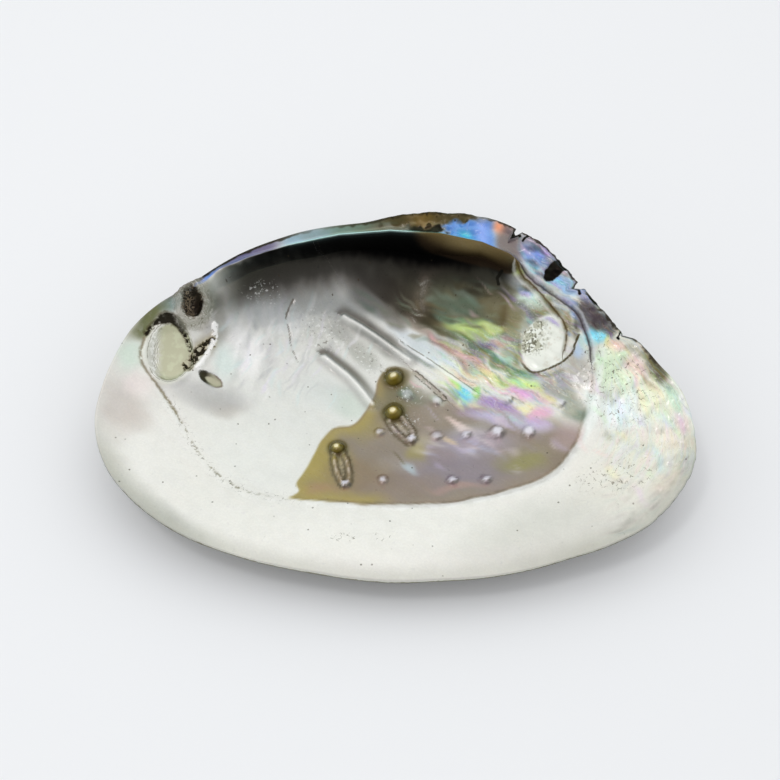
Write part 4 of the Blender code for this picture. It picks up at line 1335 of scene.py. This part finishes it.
def make_floor():
    """A wide pale floor just under the shell."""
    bm = bmesh.new()
    bmesh.ops.create_grid(bm, x_segments=1, y_segments=1, size=3.0)
    mesh = bpy.data.meshes.new("floor")
    bm.to_mesh(mesh)
    bm.free()
    floor = bpy.data.objects.new("floor", mesh)
    bpy.context.scene.collection.objects.link(floor)
    material = bpy.data.materials.new("floor_paper")
    material.use_nodes = True
    paper = material.node_tree.nodes["Principled BSDF"]
    paper.inputs["Base Color"].default_value = (0.845, 0.853, 0.858, 1.0)
    paper.inputs["Roughness"].default_value = 0.85
    paper.inputs["Specular IOR Level"].default_value = 0.2
    mesh.materials.append(material)
    return floor


def make_light(name, place, size, watts, tint=(1.0, 1.0, 1.0)):
    """A square soft box that faces the shell."""
    data = bpy.data.lights.new(name, "AREA")
    data.shape = "SQUARE"
    data.size = size
    data.energy = watts
    data.color = tint
    light = bpy.data.objects.new(name, data)
    bpy.context.scene.collection.objects.link(light)
    light.location = place
    facing = Vector((0, 0, 0.01)) - Vector(place)
    light.rotation_euler = facing.to_track_quat("-Z", "Y").to_euler()
    return light


def graded(tree, along, low, high):
    """A strength that changes evenly from the camera's side to the back."""
    grade = tree.nodes.new("ShaderNodeMapRange")
    for socket, value in (("From Min", -1.0), ("From Max", 1.0), ("To Min", low), ("To Max", high)):
        grade.inputs[socket].default_value = value
    tree.links.new(along, grade.inputs["Value"])
    return grade.outputs["Result"]


def make_room():
    """A pale tent, brightest at the back, with a black card behind the camera for the gloss."""
    world = bpy.data.worlds.new("room")
    bpy.context.scene.world = world
    world.use_nodes = True
    tree = world.node_tree
    background = tree.nodes["Background"]
    background.inputs["Color"].default_value = (0.97, 0.98, 1.0, 1.0)
    place = tree.nodes.new("ShaderNodeTexCoord")
    split = tree.nodes.new("ShaderNodeSeparateXYZ")
    tree.links.new(place.outputs["Generated"], split.inputs["Vector"])
    path = tree.nodes.new("ShaderNodeLightPath")
    choose = tree.nodes.new("ShaderNodeMix")
    tree.links.new(path.outputs["Is Glossy Ray"], choose.inputs["Factor"])
    tree.links.new(graded(tree, split.outputs["Y"], ROOM_FRONT, ROOM_BACK), choose.inputs["A"])
    tree.links.new(graded(tree, split.outputs["Y"], GLOSS_FRONT, GLOSS_BACK), choose.inputs["B"])
    tree.links.new(choose.outputs["Result"], background.inputs["Strength"])
    return world


floor = make_floor()
make_room()
make_light("overhead", (0.10, 0.26, 0.72), 0.8, 1.0)
make_light("glint", (-0.18, -0.1, 0.62), 0.09, 0.35)
make_light("left_fill", (-0.7, 0.15, 0.5), 0.4, 0.38, (0.95, 0.98, 1.0))

# %% [markdown]
# ## A helper for finishes
# Node trees are easier to read as sums.  `Wire` wraps one output of a node:
# adding or multiplying wires adds Math nodes, `step` makes a soft edge, `mix`
# blends colours, and `node` adds any other node, settings first.

# %% Shader maths
class Wire:
    """One output of a shader node, with arithmetic."""

    def __init__(self, tree, socket=None):
        self.tree = tree
        self.socket = socket

    def node(self, kind, settings=None, sockets=None, out=0):
        """Add a node: its settings first, then values or wires for its sockets."""
        made = self.tree.nodes.new("ShaderNode" + kind)
        for name, value in (settings or {}).items():
            if name == "stops":
                self.lay_stops(made.color_ramp, value)
            else:
                setattr(made, name, value)
        for name, value in (sockets or {}).items():
            if isinstance(value, Wire):
                self.tree.links.new(value.socket, made.inputs[name])
            else:
                made.inputs[name].default_value = value
        return Wire(self.tree, made.outputs[out] if made.outputs else None)

    def lay_stops(self, ramp, stops):
        """Give a colour ramp its stops: place and colour as it looks."""
        while len(ramp.elements) < len(stops):
            ramp.elements.new(0.5)
        for element, (at, tint) in zip(ramp.elements, stops):
            element.position = at
            element.color = (*to_linear(tint), 1.0)

    def math(self, operation, first, second):
        return self.node("Math", {"operation": operation}, {0: first, 1: second})

    def __add__(self, other):
        return self.math("ADD", self, other)

    def __sub__(self, other):
        return self.math("SUBTRACT", self, other)

    def __rsub__(self, other):
        return self.math("SUBTRACT", other, self)

    def __mul__(self, other):
        return self.math("MULTIPLY", self, other)

    __radd__ = __add__
    __rmul__ = __mul__

    def step(self, start, end):
        """0 at start, 1 at end, soft between."""
        if start > end:
            return 1 - self.step(end, start)
        sockets = {"Value": self, "From Min": start, "From Max": end}
        return self.node("MapRange", {"interpolation_type": "SMOOTHSTEP"}, sockets)

    def band(self, middle, half):
        """1 at the middle, 0 half a width away."""
        distance = self.node("Math", {"operation": "ABSOLUTE"}, {0: self - middle})
        return distance.step(half, 0.0)

    def mix(self, other, share, blend="MIX"):
        """Blend another colour over this one.  A plain colour is given as it looks."""
        if not isinstance(other, Wire):
            other = (*to_linear(other), 1.0)
        settings = {"data_type": "RGBA", "blend_type": blend}
        return self.node("Mix", settings, {0: share, 6: self, 7: other}, out=2)

    def coats(self, *coats):
        """Blend several colours over this one, each a colour, its share and perhaps a blend."""
        colour = self
        for coat in coats:
            colour = colour.mix(*coat)
        return colour

    def attribute(self, name, out="Fac"):
        return self.node("Attribute", {"attribute_name": name}, out=out)

    def noise(self, place, scale, detail=3.0, rough=0.5, warp=0.0, out=0):
        """Soft noise from 0 to 1."""
        sockets = {"Vector": place, "Scale": scale, "Detail": detail, "Roughness": rough, "Distortion": warp}
        return self.node("TexNoise", {"noise_dimensions": "3D"}, sockets, out)

    def rings(self, along, detail=2.0, rough=0.5):
        """Soft noise along one value, so that it runs in rings or bands."""
        sockets = {"W": along, "Scale": 1.0, "Detail": detail, "Roughness": rough}
        return self.node("TexNoise", {"noise_dimensions": "1D"}, sockets)

    def cells(self, place, scale, feature="F1", flat=False):
        """Distance to scattered points, or to the edges between their cells."""
        settings = {"voronoi_dimensions": "2D" if flat else "3D", "feature": feature}
        return self.node("TexVoronoi", settings, {"Vector": place, "Scale": scale}, "Distance")

    def drawn_out(self, place, sizes, turn=0.0):
        """The same places in a turned frame, divided by a size along each axis."""
        sockets = {"Vector": place, "Scale": sizes, "Rotation": (0.0, 0.0, math.radians(turn))}
        return self.node("Mapping", {"vector_type": "TEXTURE"}, sockets)


# %% [markdown]
# ## Mother-of-pearl
# The lining takes its washes from the points.  The nodes add what is finer
# than the mesh: the grain of the layers, fine streaks of split light that run
# the way the layers do, and a sprinkling of specks, pits and hair cracks.

# %% Lining
def hair_cracks(start, place, scale):
    """Fine broken lines, 1 on a line."""
    bent = place.node("VectorMath", {"operation": "MULTIPLY_ADD"}, {
        0: start.noise(place, 0.5, 3.0, 0.6, out="Color"), 1: (2.4, 2.4, 2.4), 2: place})
    edges = start.cells(bent, scale, "DISTANCE_TO_EDGE")
    return edges.step(0.042, 0.012) * start.noise(place, 0.9, 2.0).step(0.50, 0.57)


def split_light(colour, start, lustre):
    """Streaks of hue, painted glints with darker streaks between them, painted shade in the fine creases
    between the layers and painted highlights along the ridges beside them.
    """
    flow = start.attribute("flow", "Vector")
    streak = start.noise(start.drawn_out(flow, (7.0, 1.5, 1.0)), 1.0, 4.0, 0.6, 0.6)
    bright = colour.node("RGBToBW", None, {0: colour}).step(0.03, 0.22)
    hues = streak.node("ValToRGB", {"stops": [
        (0.30, (0.86, 0.66, 0.76)), (0.40, (0.80, 0.74, 0.60)), (0.48, (0.66, 0.80, 0.64)),
        (0.56, (0.62, 0.78, 0.86)), (0.66, (0.74, 0.66, 0.86)), (0.76, (0.86, 0.68, 0.68)),
    ]}, {"Fac": streak})
    glints = start.noise(start.drawn_out(flow, (3.2, 0.7, 1.0)), 1.0, 5.0, 0.62)
    folds = start.noise(start.drawn_out(flow, (9.0, 2.6, 1.0)), 1.0, 3.0, 0.55, 0.9)
    crease_lines = folds.band(0.47, 0.012) + folds.band(0.57, 0.010)
    ridge_lines = folds.band(0.485, 0.014) + folds.band(0.54, 0.012)
    return colour.coats(
        (hues, lustre * bright * 0.17, "LINEAR_LIGHT"),
        # painted glints, with darker streaks between them
        ((1.0, 1.0, 0.97), glints.step(0.57, 0.68) * lustre * bright * 0.45),
        ((0.55, 0.53, 0.50), glints.step(0.42, 0.32) * lustre * 0.5, "MULTIPLY"),
        # painted shade in the creases and painted highlights along the ridges beside them
        ((0.50, 0.47, 0.42), crease_lines * lustre * 0.38, "MULTIPLY"),
        ((1.0, 0.99, 0.92), ridge_lines * lustre * bright * 0.32),
    )


def lining_colour(start, place):
    """Colour of the mother-of-pearl."""
    lustre = start.attribute("lustre")
    soft = start.noise(place, 0.22, 4.0, 0.55)
    fine = start.noise(place, 1.6, 5.0, 0.6)
    colour = start.attribute("lining", "Color").coats(
        ((0.93, 0.93, 0.93), fine.step(0.64, 0.42) * 0.30, "MULTIPLY"),
        ((0.88, 0.88, 0.88), soft.step(0.58, 0.36) * (0.12 + lustre * 0.3), "MULTIPLY"),
    )
    colour = split_light(colour, start, lustre)
    specks = start.cells(start.attribute("plan", "Vector"), 0.13, flat=True) + (fine - 0.5) * 0.06
    some = start.noise(place, 0.16, 2.0).step(0.50, 0.60)
    pitted = start.attribute("pitted")
    pits = start.noise(place, 0.9, 4.0, 0.7)
    cracks = hair_cracks(start, place, 0.42) * start.attribute("scribbles")
    return colour.coats(
        ((0.24, 0.21, 0.16), specks.step(0.042, 0.022) * some * 0.8),
        ((0.36, 0.35, 0.32), pits.step(0.40, 0.34) * pitted * 0.75),
        ((0.98, 0.99, 0.98), pits.step(0.58, 0.64) * pitted * 0.6),
        ((0.34, 0.31, 0.24), cracks * 0.75),
    )


# %% [markdown]
# ## Crisp edges of the marks
# A scar or a fold has an edge finer than the mesh, so its colour is decided
# in the material, from the distance that each point carries.  The distances
# are roughened by one shared noise, so that no edge is a clean curve.

# %% What the marks share
def shared_fields(start, place):
    """Noises from fine to broad, places on the plan, and a way to read a roughened distance."""
    plan_place = start.attribute("plan", "Vector")
    ragged = (start.noise(place, 0.8, 4.0, 0.65) - 0.5) * 2.0
    return SimpleNamespace(
        ragged=ragged,
        grit=start.noise(place, 1.1, 3.0, 0.6),
        lumps=start.noise(place, 0.62, 3.0, 0.55),
        broad=start.noise(place, 0.35, 2.0, 0.5),
        a=start.node("SeparateXYZ", None, {0: plan_place}, "X"),
        b=start.node("SeparateXYZ", None, {0: plan_place}, "Y"),
        gap=lambda name, fray: start.attribute(name) + ragged * fray,
    )


# %% Mantle line
def mantle_marks(colour, start, here):
    """A soft step all along the line, with painted shade at its foot and a painted highlight along its raised
    side, dirt in it at the front, and a groove beside the scar.
    """
    mantle = here.gap("mantle", 0.5)
    low = start.attribute("reach").step(1.0, 0.9)
    right = here.a.step(-50.0, 0.0) * 0.5 + 0.2
    dirt = mantle.band(0.0, 0.7) * here.lumps.step(0.50, 0.58) * here.a.step(-30.0, -46.0)
    groove = mantle.band(0.0, 0.8) * here.a.step(-61.5, -64.0) * here.b.step(-3.0, 0.0)
    return colour.coats(
        # painted shade at the foot of the step and a painted highlight along its raised side
        ((0.80, 0.79, 0.76), mantle.band(0.4, 0.9) * low * here.broad.step(0.35, 0.6) * right, "MULTIPLY"),
        ((1.0, 1.0, 0.99), mantle.band(-1.2, 1.4) * here.broad.step(0.4, 0.6) * right * 0.6),
        ((0.42, 0.39, 0.26), dirt * here.b.step(6.0, 2.0) * 0.75),
        ((0.47, 0.43, 0.30), groove * here.lumps.step(0.32, 0.44) * 0.8),
    )


# %% Front scar
def front_scar_marks(colour, start, here):
    """The scar's pale floor and striped rim, the black crease behind it and the pit below."""
    front = here.gap("front_scar", 0.07)
    frayed_a = here.a + here.ragged * 1.6
    floor_of_scar = front.step(1.0, 0.90) * frayed_a.step(-70.5, -68.0)
    rim_of_scar = front.step(1.16, 1.0) * (1 - floor_of_scar)
    striae = start.rings(start.attribute("front_scar") * 22.0 + here.ragged * 1.4)
    wide = here.b.step(23.5, 26.5) * here.a.step(-72.0, -67.0)
    crease = here.gap("front_crease", 0.55) - wide * 0.8
    beaded = here.lumps.step(0.40, 0.50) * (1 - wide) + wide
    pit = here.gap("pit", 0.16)
    return colour.coats(
        ((0.88, 0.88, 0.84), rim_of_scar * 0.8),
        ((1.0, 1.0, 0.98), rim_of_scar * frayed_a.band(-70.6, 1.6) * here.lumps.step(0.44, 0.52) * 0.9),
        ((0.50, 0.48, 0.42), rim_of_scar * striae.step(0.50, 0.42) * here.broad.step(0.36, 0.5) * 0.65),
        ((0.765, 0.765, 0.645), floor_of_scar * 0.95),
        ((0.84, 0.86, 0.74), floor_of_scar * here.broad.step(0.50, 0.66) * 0.5),
        ((0.34, 0.34, 0.14), floor_of_scar * front.step(0.86, 0.95) * here.broad.step(0.38, 0.5) * 0.8),
        ((0.30, 0.26, 0.14), crease.step(1.1, 0.6) * beaded * 0.7),
        ((0.09, 0.08, 0.04), crease.step(0.65, 0.25) * beaded * 0.97),
        *crumbs(here),
        ((0.66, 0.65, 0.52), pit.step(1.0, 0.8) * 0.85),
        ((0.42, 0.33, 0.22), pit.band(0.95, 0.20) * here.a.step(-55.0, -53.0) * 0.8),
        ((0.13, 0.12, 0.04), pit.step(1.12, 0.96) * pit.step(0.35, 0.60) * here.a.step(-53.6, -56.4) * 0.95),
    )


def crumbs(here):
    """Dark crumbs between the scar and the white spur beside it."""
    crumbled = here.gap("crumbled", 0.9)
    return (
        ((0.80, 0.78, 0.68), crumbled.step(2.4, 1.5) * 0.5),
        ((0.42, 0.37, 0.22), crumbled.step(2.1, 1.2) * here.lumps.step(0.58, 0.52) * 0.8),
        ((0.08, 0.07, 0.03), crumbled.step(1.7, 1.1) * here.lumps.step(0.53, 0.48) * 0.97),
        ((1.0, 1.0, 0.99), here.gap("spur", 0.9).step(1.2, 0.4) * here.lumps.step(0.40, 0.48) * 0.9),
    )


# %% Socket
def socket_marks(colour, start, here):
    """The socket at the front of the hinge, wound up like a knot in wood."""
    winding = start.rings(start.attribute("socket") * 4.2 + here.broad * 9.0, rough=0.6)
    near = here.gap("socket", 0.36)
    return colour.coats(
        ((0.64, 0.63, 0.58), near.step(2.3, 1.5) * 0.6),
        ((0.42, 0.40, 0.34), near.step(2.2, 1.4) * winding.step(0.48, 0.40) * 0.6),
        ((0.84, 0.83, 0.80), near.step(2.2, 1.6) * winding.step(0.54, 0.60) * 0.55),
        ((0.20, 0.15, 0.11), near.step(1.25, 0.9) * 0.92),
        ((0.50, 0.43, 0.34), near.step(1.25, 0.85) * winding.step(0.50, 0.58) * 0.75),
        ((0.06, 0.04, 0.03), near.step(1.2, 0.8) * (here.a + here.broad * 4.0).step(-58.6, -56.8) * 0.92),
        ((0.07, 0.05, 0.03), near.step(1.15, 0.8) * winding.step(0.46, 0.38) * 0.9),
    )


# %% Rear scar and folds
def rear_scar_marks(colour, here):
    """The pale rear scar, worn rough at its front, its dark lip and the two folds of the wing: an olive line
    on the inner fold, painted shade in the outer fold's groove, and a painted highlight beside each.
    """
    in_scar = here.gap("rear_scar", 0.4).step(0.0, 0.9)
    worn_part = (here.a + here.broad * 9.0).step(51.5, 47.0) * (here.b + here.lumps * 8.0).step(22.0, 24.0)
    faint = here.a.step(41.5, 39.0) * here.b.step(15.0, 18.5)
    lip = here.gap("scar_lip", 0.2).step(0.5, 0.2)
    inner = here.gap("inner_fold", 0.3)
    outer = here.gap("outer_fold", 0.3)
    return colour.coats(
        ((0.95, 0.965, 0.925), in_scar * 0.95),
        ((0.78, 0.74, 0.66), in_scar * here.broad.step(0.50, 0.64) * here.a.step(43.0, 47.0) * 0.6),
        ((0.58, 0.58, 0.44), in_scar * worn_part * here.lumps.step(0.56, 0.48) * 0.6),
        ((0.30, 0.31, 0.22), in_scar * worn_part * here.grit.step(0.47, 0.41) * 0.85),
        ((0.26, 0.23, 0.09), lip * here.broad.step(0.22, 0.4) * (0.95 - faint * 0.75)),
        ((0.46, 0.39, 0.20), inner.band(0.0, 1.1) * 0.6),
        ((0.27, 0.21, 0.07), inner.band(0.0, 0.5) * here.broad.step(0.28, 0.42) * 0.9),
        # painted highlight beside the inner fold
        ((0.95, 0.95, 0.93), inner.band(-1.0, 0.6) * 0.35),
        # painted shade in the outer fold's groove, and a painted highlight beside it
        ((0.40, 0.38, 0.42), outer.band(0.2, 1.2) * 0.6),
        ((0.20, 0.18, 0.20), outer.band(0.0, 0.45) * 0.85),
        ((0.92, 0.94, 0.98), outer.band(0.9, 0.6) * 0.35),
    )


# %% Scratches and the flaked strip
def scratch_marks(colour, here):
    """The long scratch, the black stroke, the fine ridge with painted shade in the groove beside it and a
    painted highlight on its raised side, and the strip where a layer flaked.
    """
    scratch = here.gap("scratch", 0.3)
    ridge = here.gap("ridge", 0.25)
    strip = here.gap("strip", 0.35)
    return colour.coats(
        ((0.36, 0.34, 0.30), scratch.step(0.42, 0.12) * here.broad.step(0.38, 0.50) * 0.8),
        ((0.04, 0.04, 0.03), here.gap("stroke", 0.15).step(0.55, 0.30) * 0.95),
        # painted shade in the groove beside the fine ridge, and a painted highlight on its raised side
        ((0.45, 0.42, 0.38), ridge.band(0.0, 0.40) * here.broad.step(0.30, 0.45) * 0.75),
        ((1.0, 1.0, 1.0), ridge.band(-0.8, 0.7) * 0.45),
        ((0.52, 0.48, 0.42), strip.band(0.0, 1.6) * 0.65),
        ((0.24, 0.21, 0.16), strip.band(0.60, 0.42) * here.lumps.step(0.36, 0.46) * 0.85),
        ((0.28, 0.25, 0.20), strip.band(-0.75, 0.36) * here.lumps.step(0.42, 0.50) * 0.8),
        ((0.92, 0.86, 0.84), strip.band(-0.1, 0.35) * here.lumps.step(0.50, 0.58) * 0.6),
    )


# %% Pearls, hole and chips
def pearl_marks(colour, here):
    """The golden pearls, darkest at the edge as painted shade and with a painted highlight near the top, and
    the black hole and chips of the wing.
    """
    on_pearl = here.gap("gold", 0.06).step(0.0, 0.15)
    tip = here.gap("tip", 0.08)
    return colour.coats(
        # the pearls' own dark olive gold, darkest at the edge as painted shade, then paler rings up to a
        # painted highlight near the top
        ((0.22, 0.18, 0.03), on_pearl * 0.97),
        ((0.40, 0.345, 0.085), on_pearl * tip.step(1.1, 0.72) * 0.95),
        ((0.66, 0.59, 0.28), on_pearl * tip.step(0.60, 0.34) * 0.8),
        ((0.98, 0.94, 0.78), on_pearl * tip.step(0.40, 0.20) * 0.9),
        ((0.01, 0.01, 0.01), here.gap("wing_hole", 0.35).step(0.0, 0.5)),
        ((0.03, 0.03, 0.02), here.gap("chips", 0.4).step(0.55, 0.25)),
    )


def marks_over(colour, start, place):
    """Every crisp mark, in the order in which they overlap."""
    here = shared_fields(start, place)
    colour = mantle_marks(colour, start, here)
    colour = front_scar_marks(colour, start, here)
    colour = socket_marks(colour, start, here)
    colour = rear_scar_marks(colour, here)
    colour = scratch_marks(colour, here)
    return pearl_marks(colour, here)


# %% [markdown]
# ## The skin outside
# The back of a mussel is covered by a brown skin, darker at each rest in
# growth and worn through to pearl at the beak, the oldest part of the shell.

# %% Outside skin
def skin_colour(start, place):
    """Colour of the brown skin on the back of the shell."""
    age = start.attribute("age")
    wander = start.noise(place, 0.05, 3.0, 0.6)
    bands = start.rings(age * 26.0 + wander * 1.6, 4.0, 0.65)
    colour = bands.node("ValToRGB", {"stops": [
        (0.30, (0.17, 0.13, 0.09)), (0.45, (0.27, 0.22, 0.13)),
        (0.56, (0.38, 0.33, 0.18)), (0.70, (0.47, 0.40, 0.22)),
    ]}, {"Fac": bands})
    mottle = start.noise(place, 0.35, 5.0, 0.65)
    worn = age + (mottle - 0.5) * 0.34 + (wander - 0.5) * 0.22
    scuffs = start.noise(start.drawn_out(place, (2.0, 7.0, 3.3), 20), 1.0, 6.0, 0.7)
    return colour.coats(
        ((0.16, 0.12, 0.08), mottle.step(0.42, 0.62) * 0.55),
        ((0.44, 0.33, 0.20), worn.step(0.30, 0.17) * 0.8),
        ((0.78, 0.75, 0.68), worn.step(0.17, 0.11)),
        ((0.92, 0.92, 0.90), worn.step(0.10, 0.04) * mottle.step(0.42, 0.56) * 0.7),
        ((0.62, 0.58, 0.48), scuffs.step(0.66, 0.74) * 0.5),
    )


# %% [markdown]
# ## The whole finish
# Lining, lip and skin share one material, chosen by which side a point is on.
# Polished nacre has a clear coat with a thin film.  Where the lining is dark
# or lies under the tooth, a second, dull surface takes over, because a gloss
# there would catch light that the real hollow doesn't get.

# %% Nacre
def surface_height(start, place, inside, edge, polish):
    """Fine grain and layers inside, growth rings outside."""
    grain_high = start.noise(place, 1.3, 6.0, 0.62)
    layers = start.noise(start.drawn_out(start.attribute("flow", "Vector"), (4.0, 0.7, 1.0)), 1.0, 4.0, 0.55)
    rings = start.rings(start.attribute("age") * 170.0 + edge * 2.0, 3.0)
    lined = grain_high * (0.05 + start.attribute("pitted") * 0.35) + layers * start.attribute("lustre") * 0.20
    return lined * inside + (rings * 0.16 + polish * 0.12) * (1 - inside)


def make_nacre():
    """One material: lining inside, skin outside, a thin brown line between."""
    material = bpy.data.materials.new("nacre")
    material.use_nodes = True
    tree = material.node_tree
    tree.nodes.clear()
    start = Wire(tree)
    place = start.node("VectorMath", {"operation": "SCALE"}, {
        0: start.node("TexCoord", out="Object"), "Scale": 1000.0})
    side = start.attribute("side")
    edge = start.noise(place, 0.4, 4.0, 0.6)
    plan_b = start.node("SeparateXYZ", None, {0: start.attribute("plan", "Vector")}, "Y")

    lining = marks_over(lining_colour(start, place), start, place)
    lip = side + (edge - 0.5) * 0.5 - plan_b.step(-10.0, -24.0) * 0.16
    colour = skin_colour(start, place).coats(
        ((0.38, 0.34, 0.22), lip.step(0.14, 0.30)),
        (lining, lip.step(0.45, 0.62)),
    )
    inside = side.step(0.45, 0.62)
    pale = lining.node("RGBToBW", None, {0: lining}).step(0.01, 0.12)
    polish = start.noise(place, 0.5, 4.0, 0.6)
    dull = 0.50 + polish * 0.25
    sheen = 0.20 + polish * 0.22 + start.attribute("rear_scar").step(0.0, 1.0) * 0.15
    sheen = sheen * (1 - start.attribute("gold").step(0.0, 0.2) * 0.5)
    height = surface_height(start, place, inside, edge, polish)
    bump = start.node("Bump", None, {"Height": height, "Strength": 0.5, "Distance": 1.0 * MM})

    glossy = start.node("BsdfPrincipled", None, {
        "Base Color": colour, "Roughness": dull * (1 - inside) + sheen * inside, "Normal": bump,
        "IOR": 1.56, "Specular IOR Level": 0.45, "Coat Weight": inside * pale * 0.5,
        "Coat Roughness": 0.12, "Thin Film Thickness": 420.0, "Thin Film IOR": 1.45})
    chalky = start.node("BsdfPrincipled", None, {
        "Base Color": colour, "Roughness": 0.8, "Normal": bump, "Specular IOR Level": 0.05})
    dead = (1 - pale) * inside * 0.75
    share = dead + start.attribute("cave") * (1 - dead)
    surface = start.node("MixShader", None, {0: share, 1: glossy, 2: chalky})
    start.node("OutputMaterial", None, {"Surface": surface})
    print(material.name, "nodes:", len(tree.nodes))
    return material


shell_mesh.materials.append(make_nacre())

# %% [markdown]
# ## Tying it to the solid
# The finished shell stands for the solid's one node and takes its finish from
# the same slot.  The floor is only there for the picture.

# %% Tie up and finish
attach(shell, "root")
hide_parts("shell_valve")
floor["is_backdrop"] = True
size_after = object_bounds()
sizes = {
    "cad": [list(corner) for corner in size_before],
    "visual": [list(corner) for corner in size_after],
}
print("visual box, mm:", [round((h - l) / MM, 1) for l, h in zip(*sizes["visual"])])
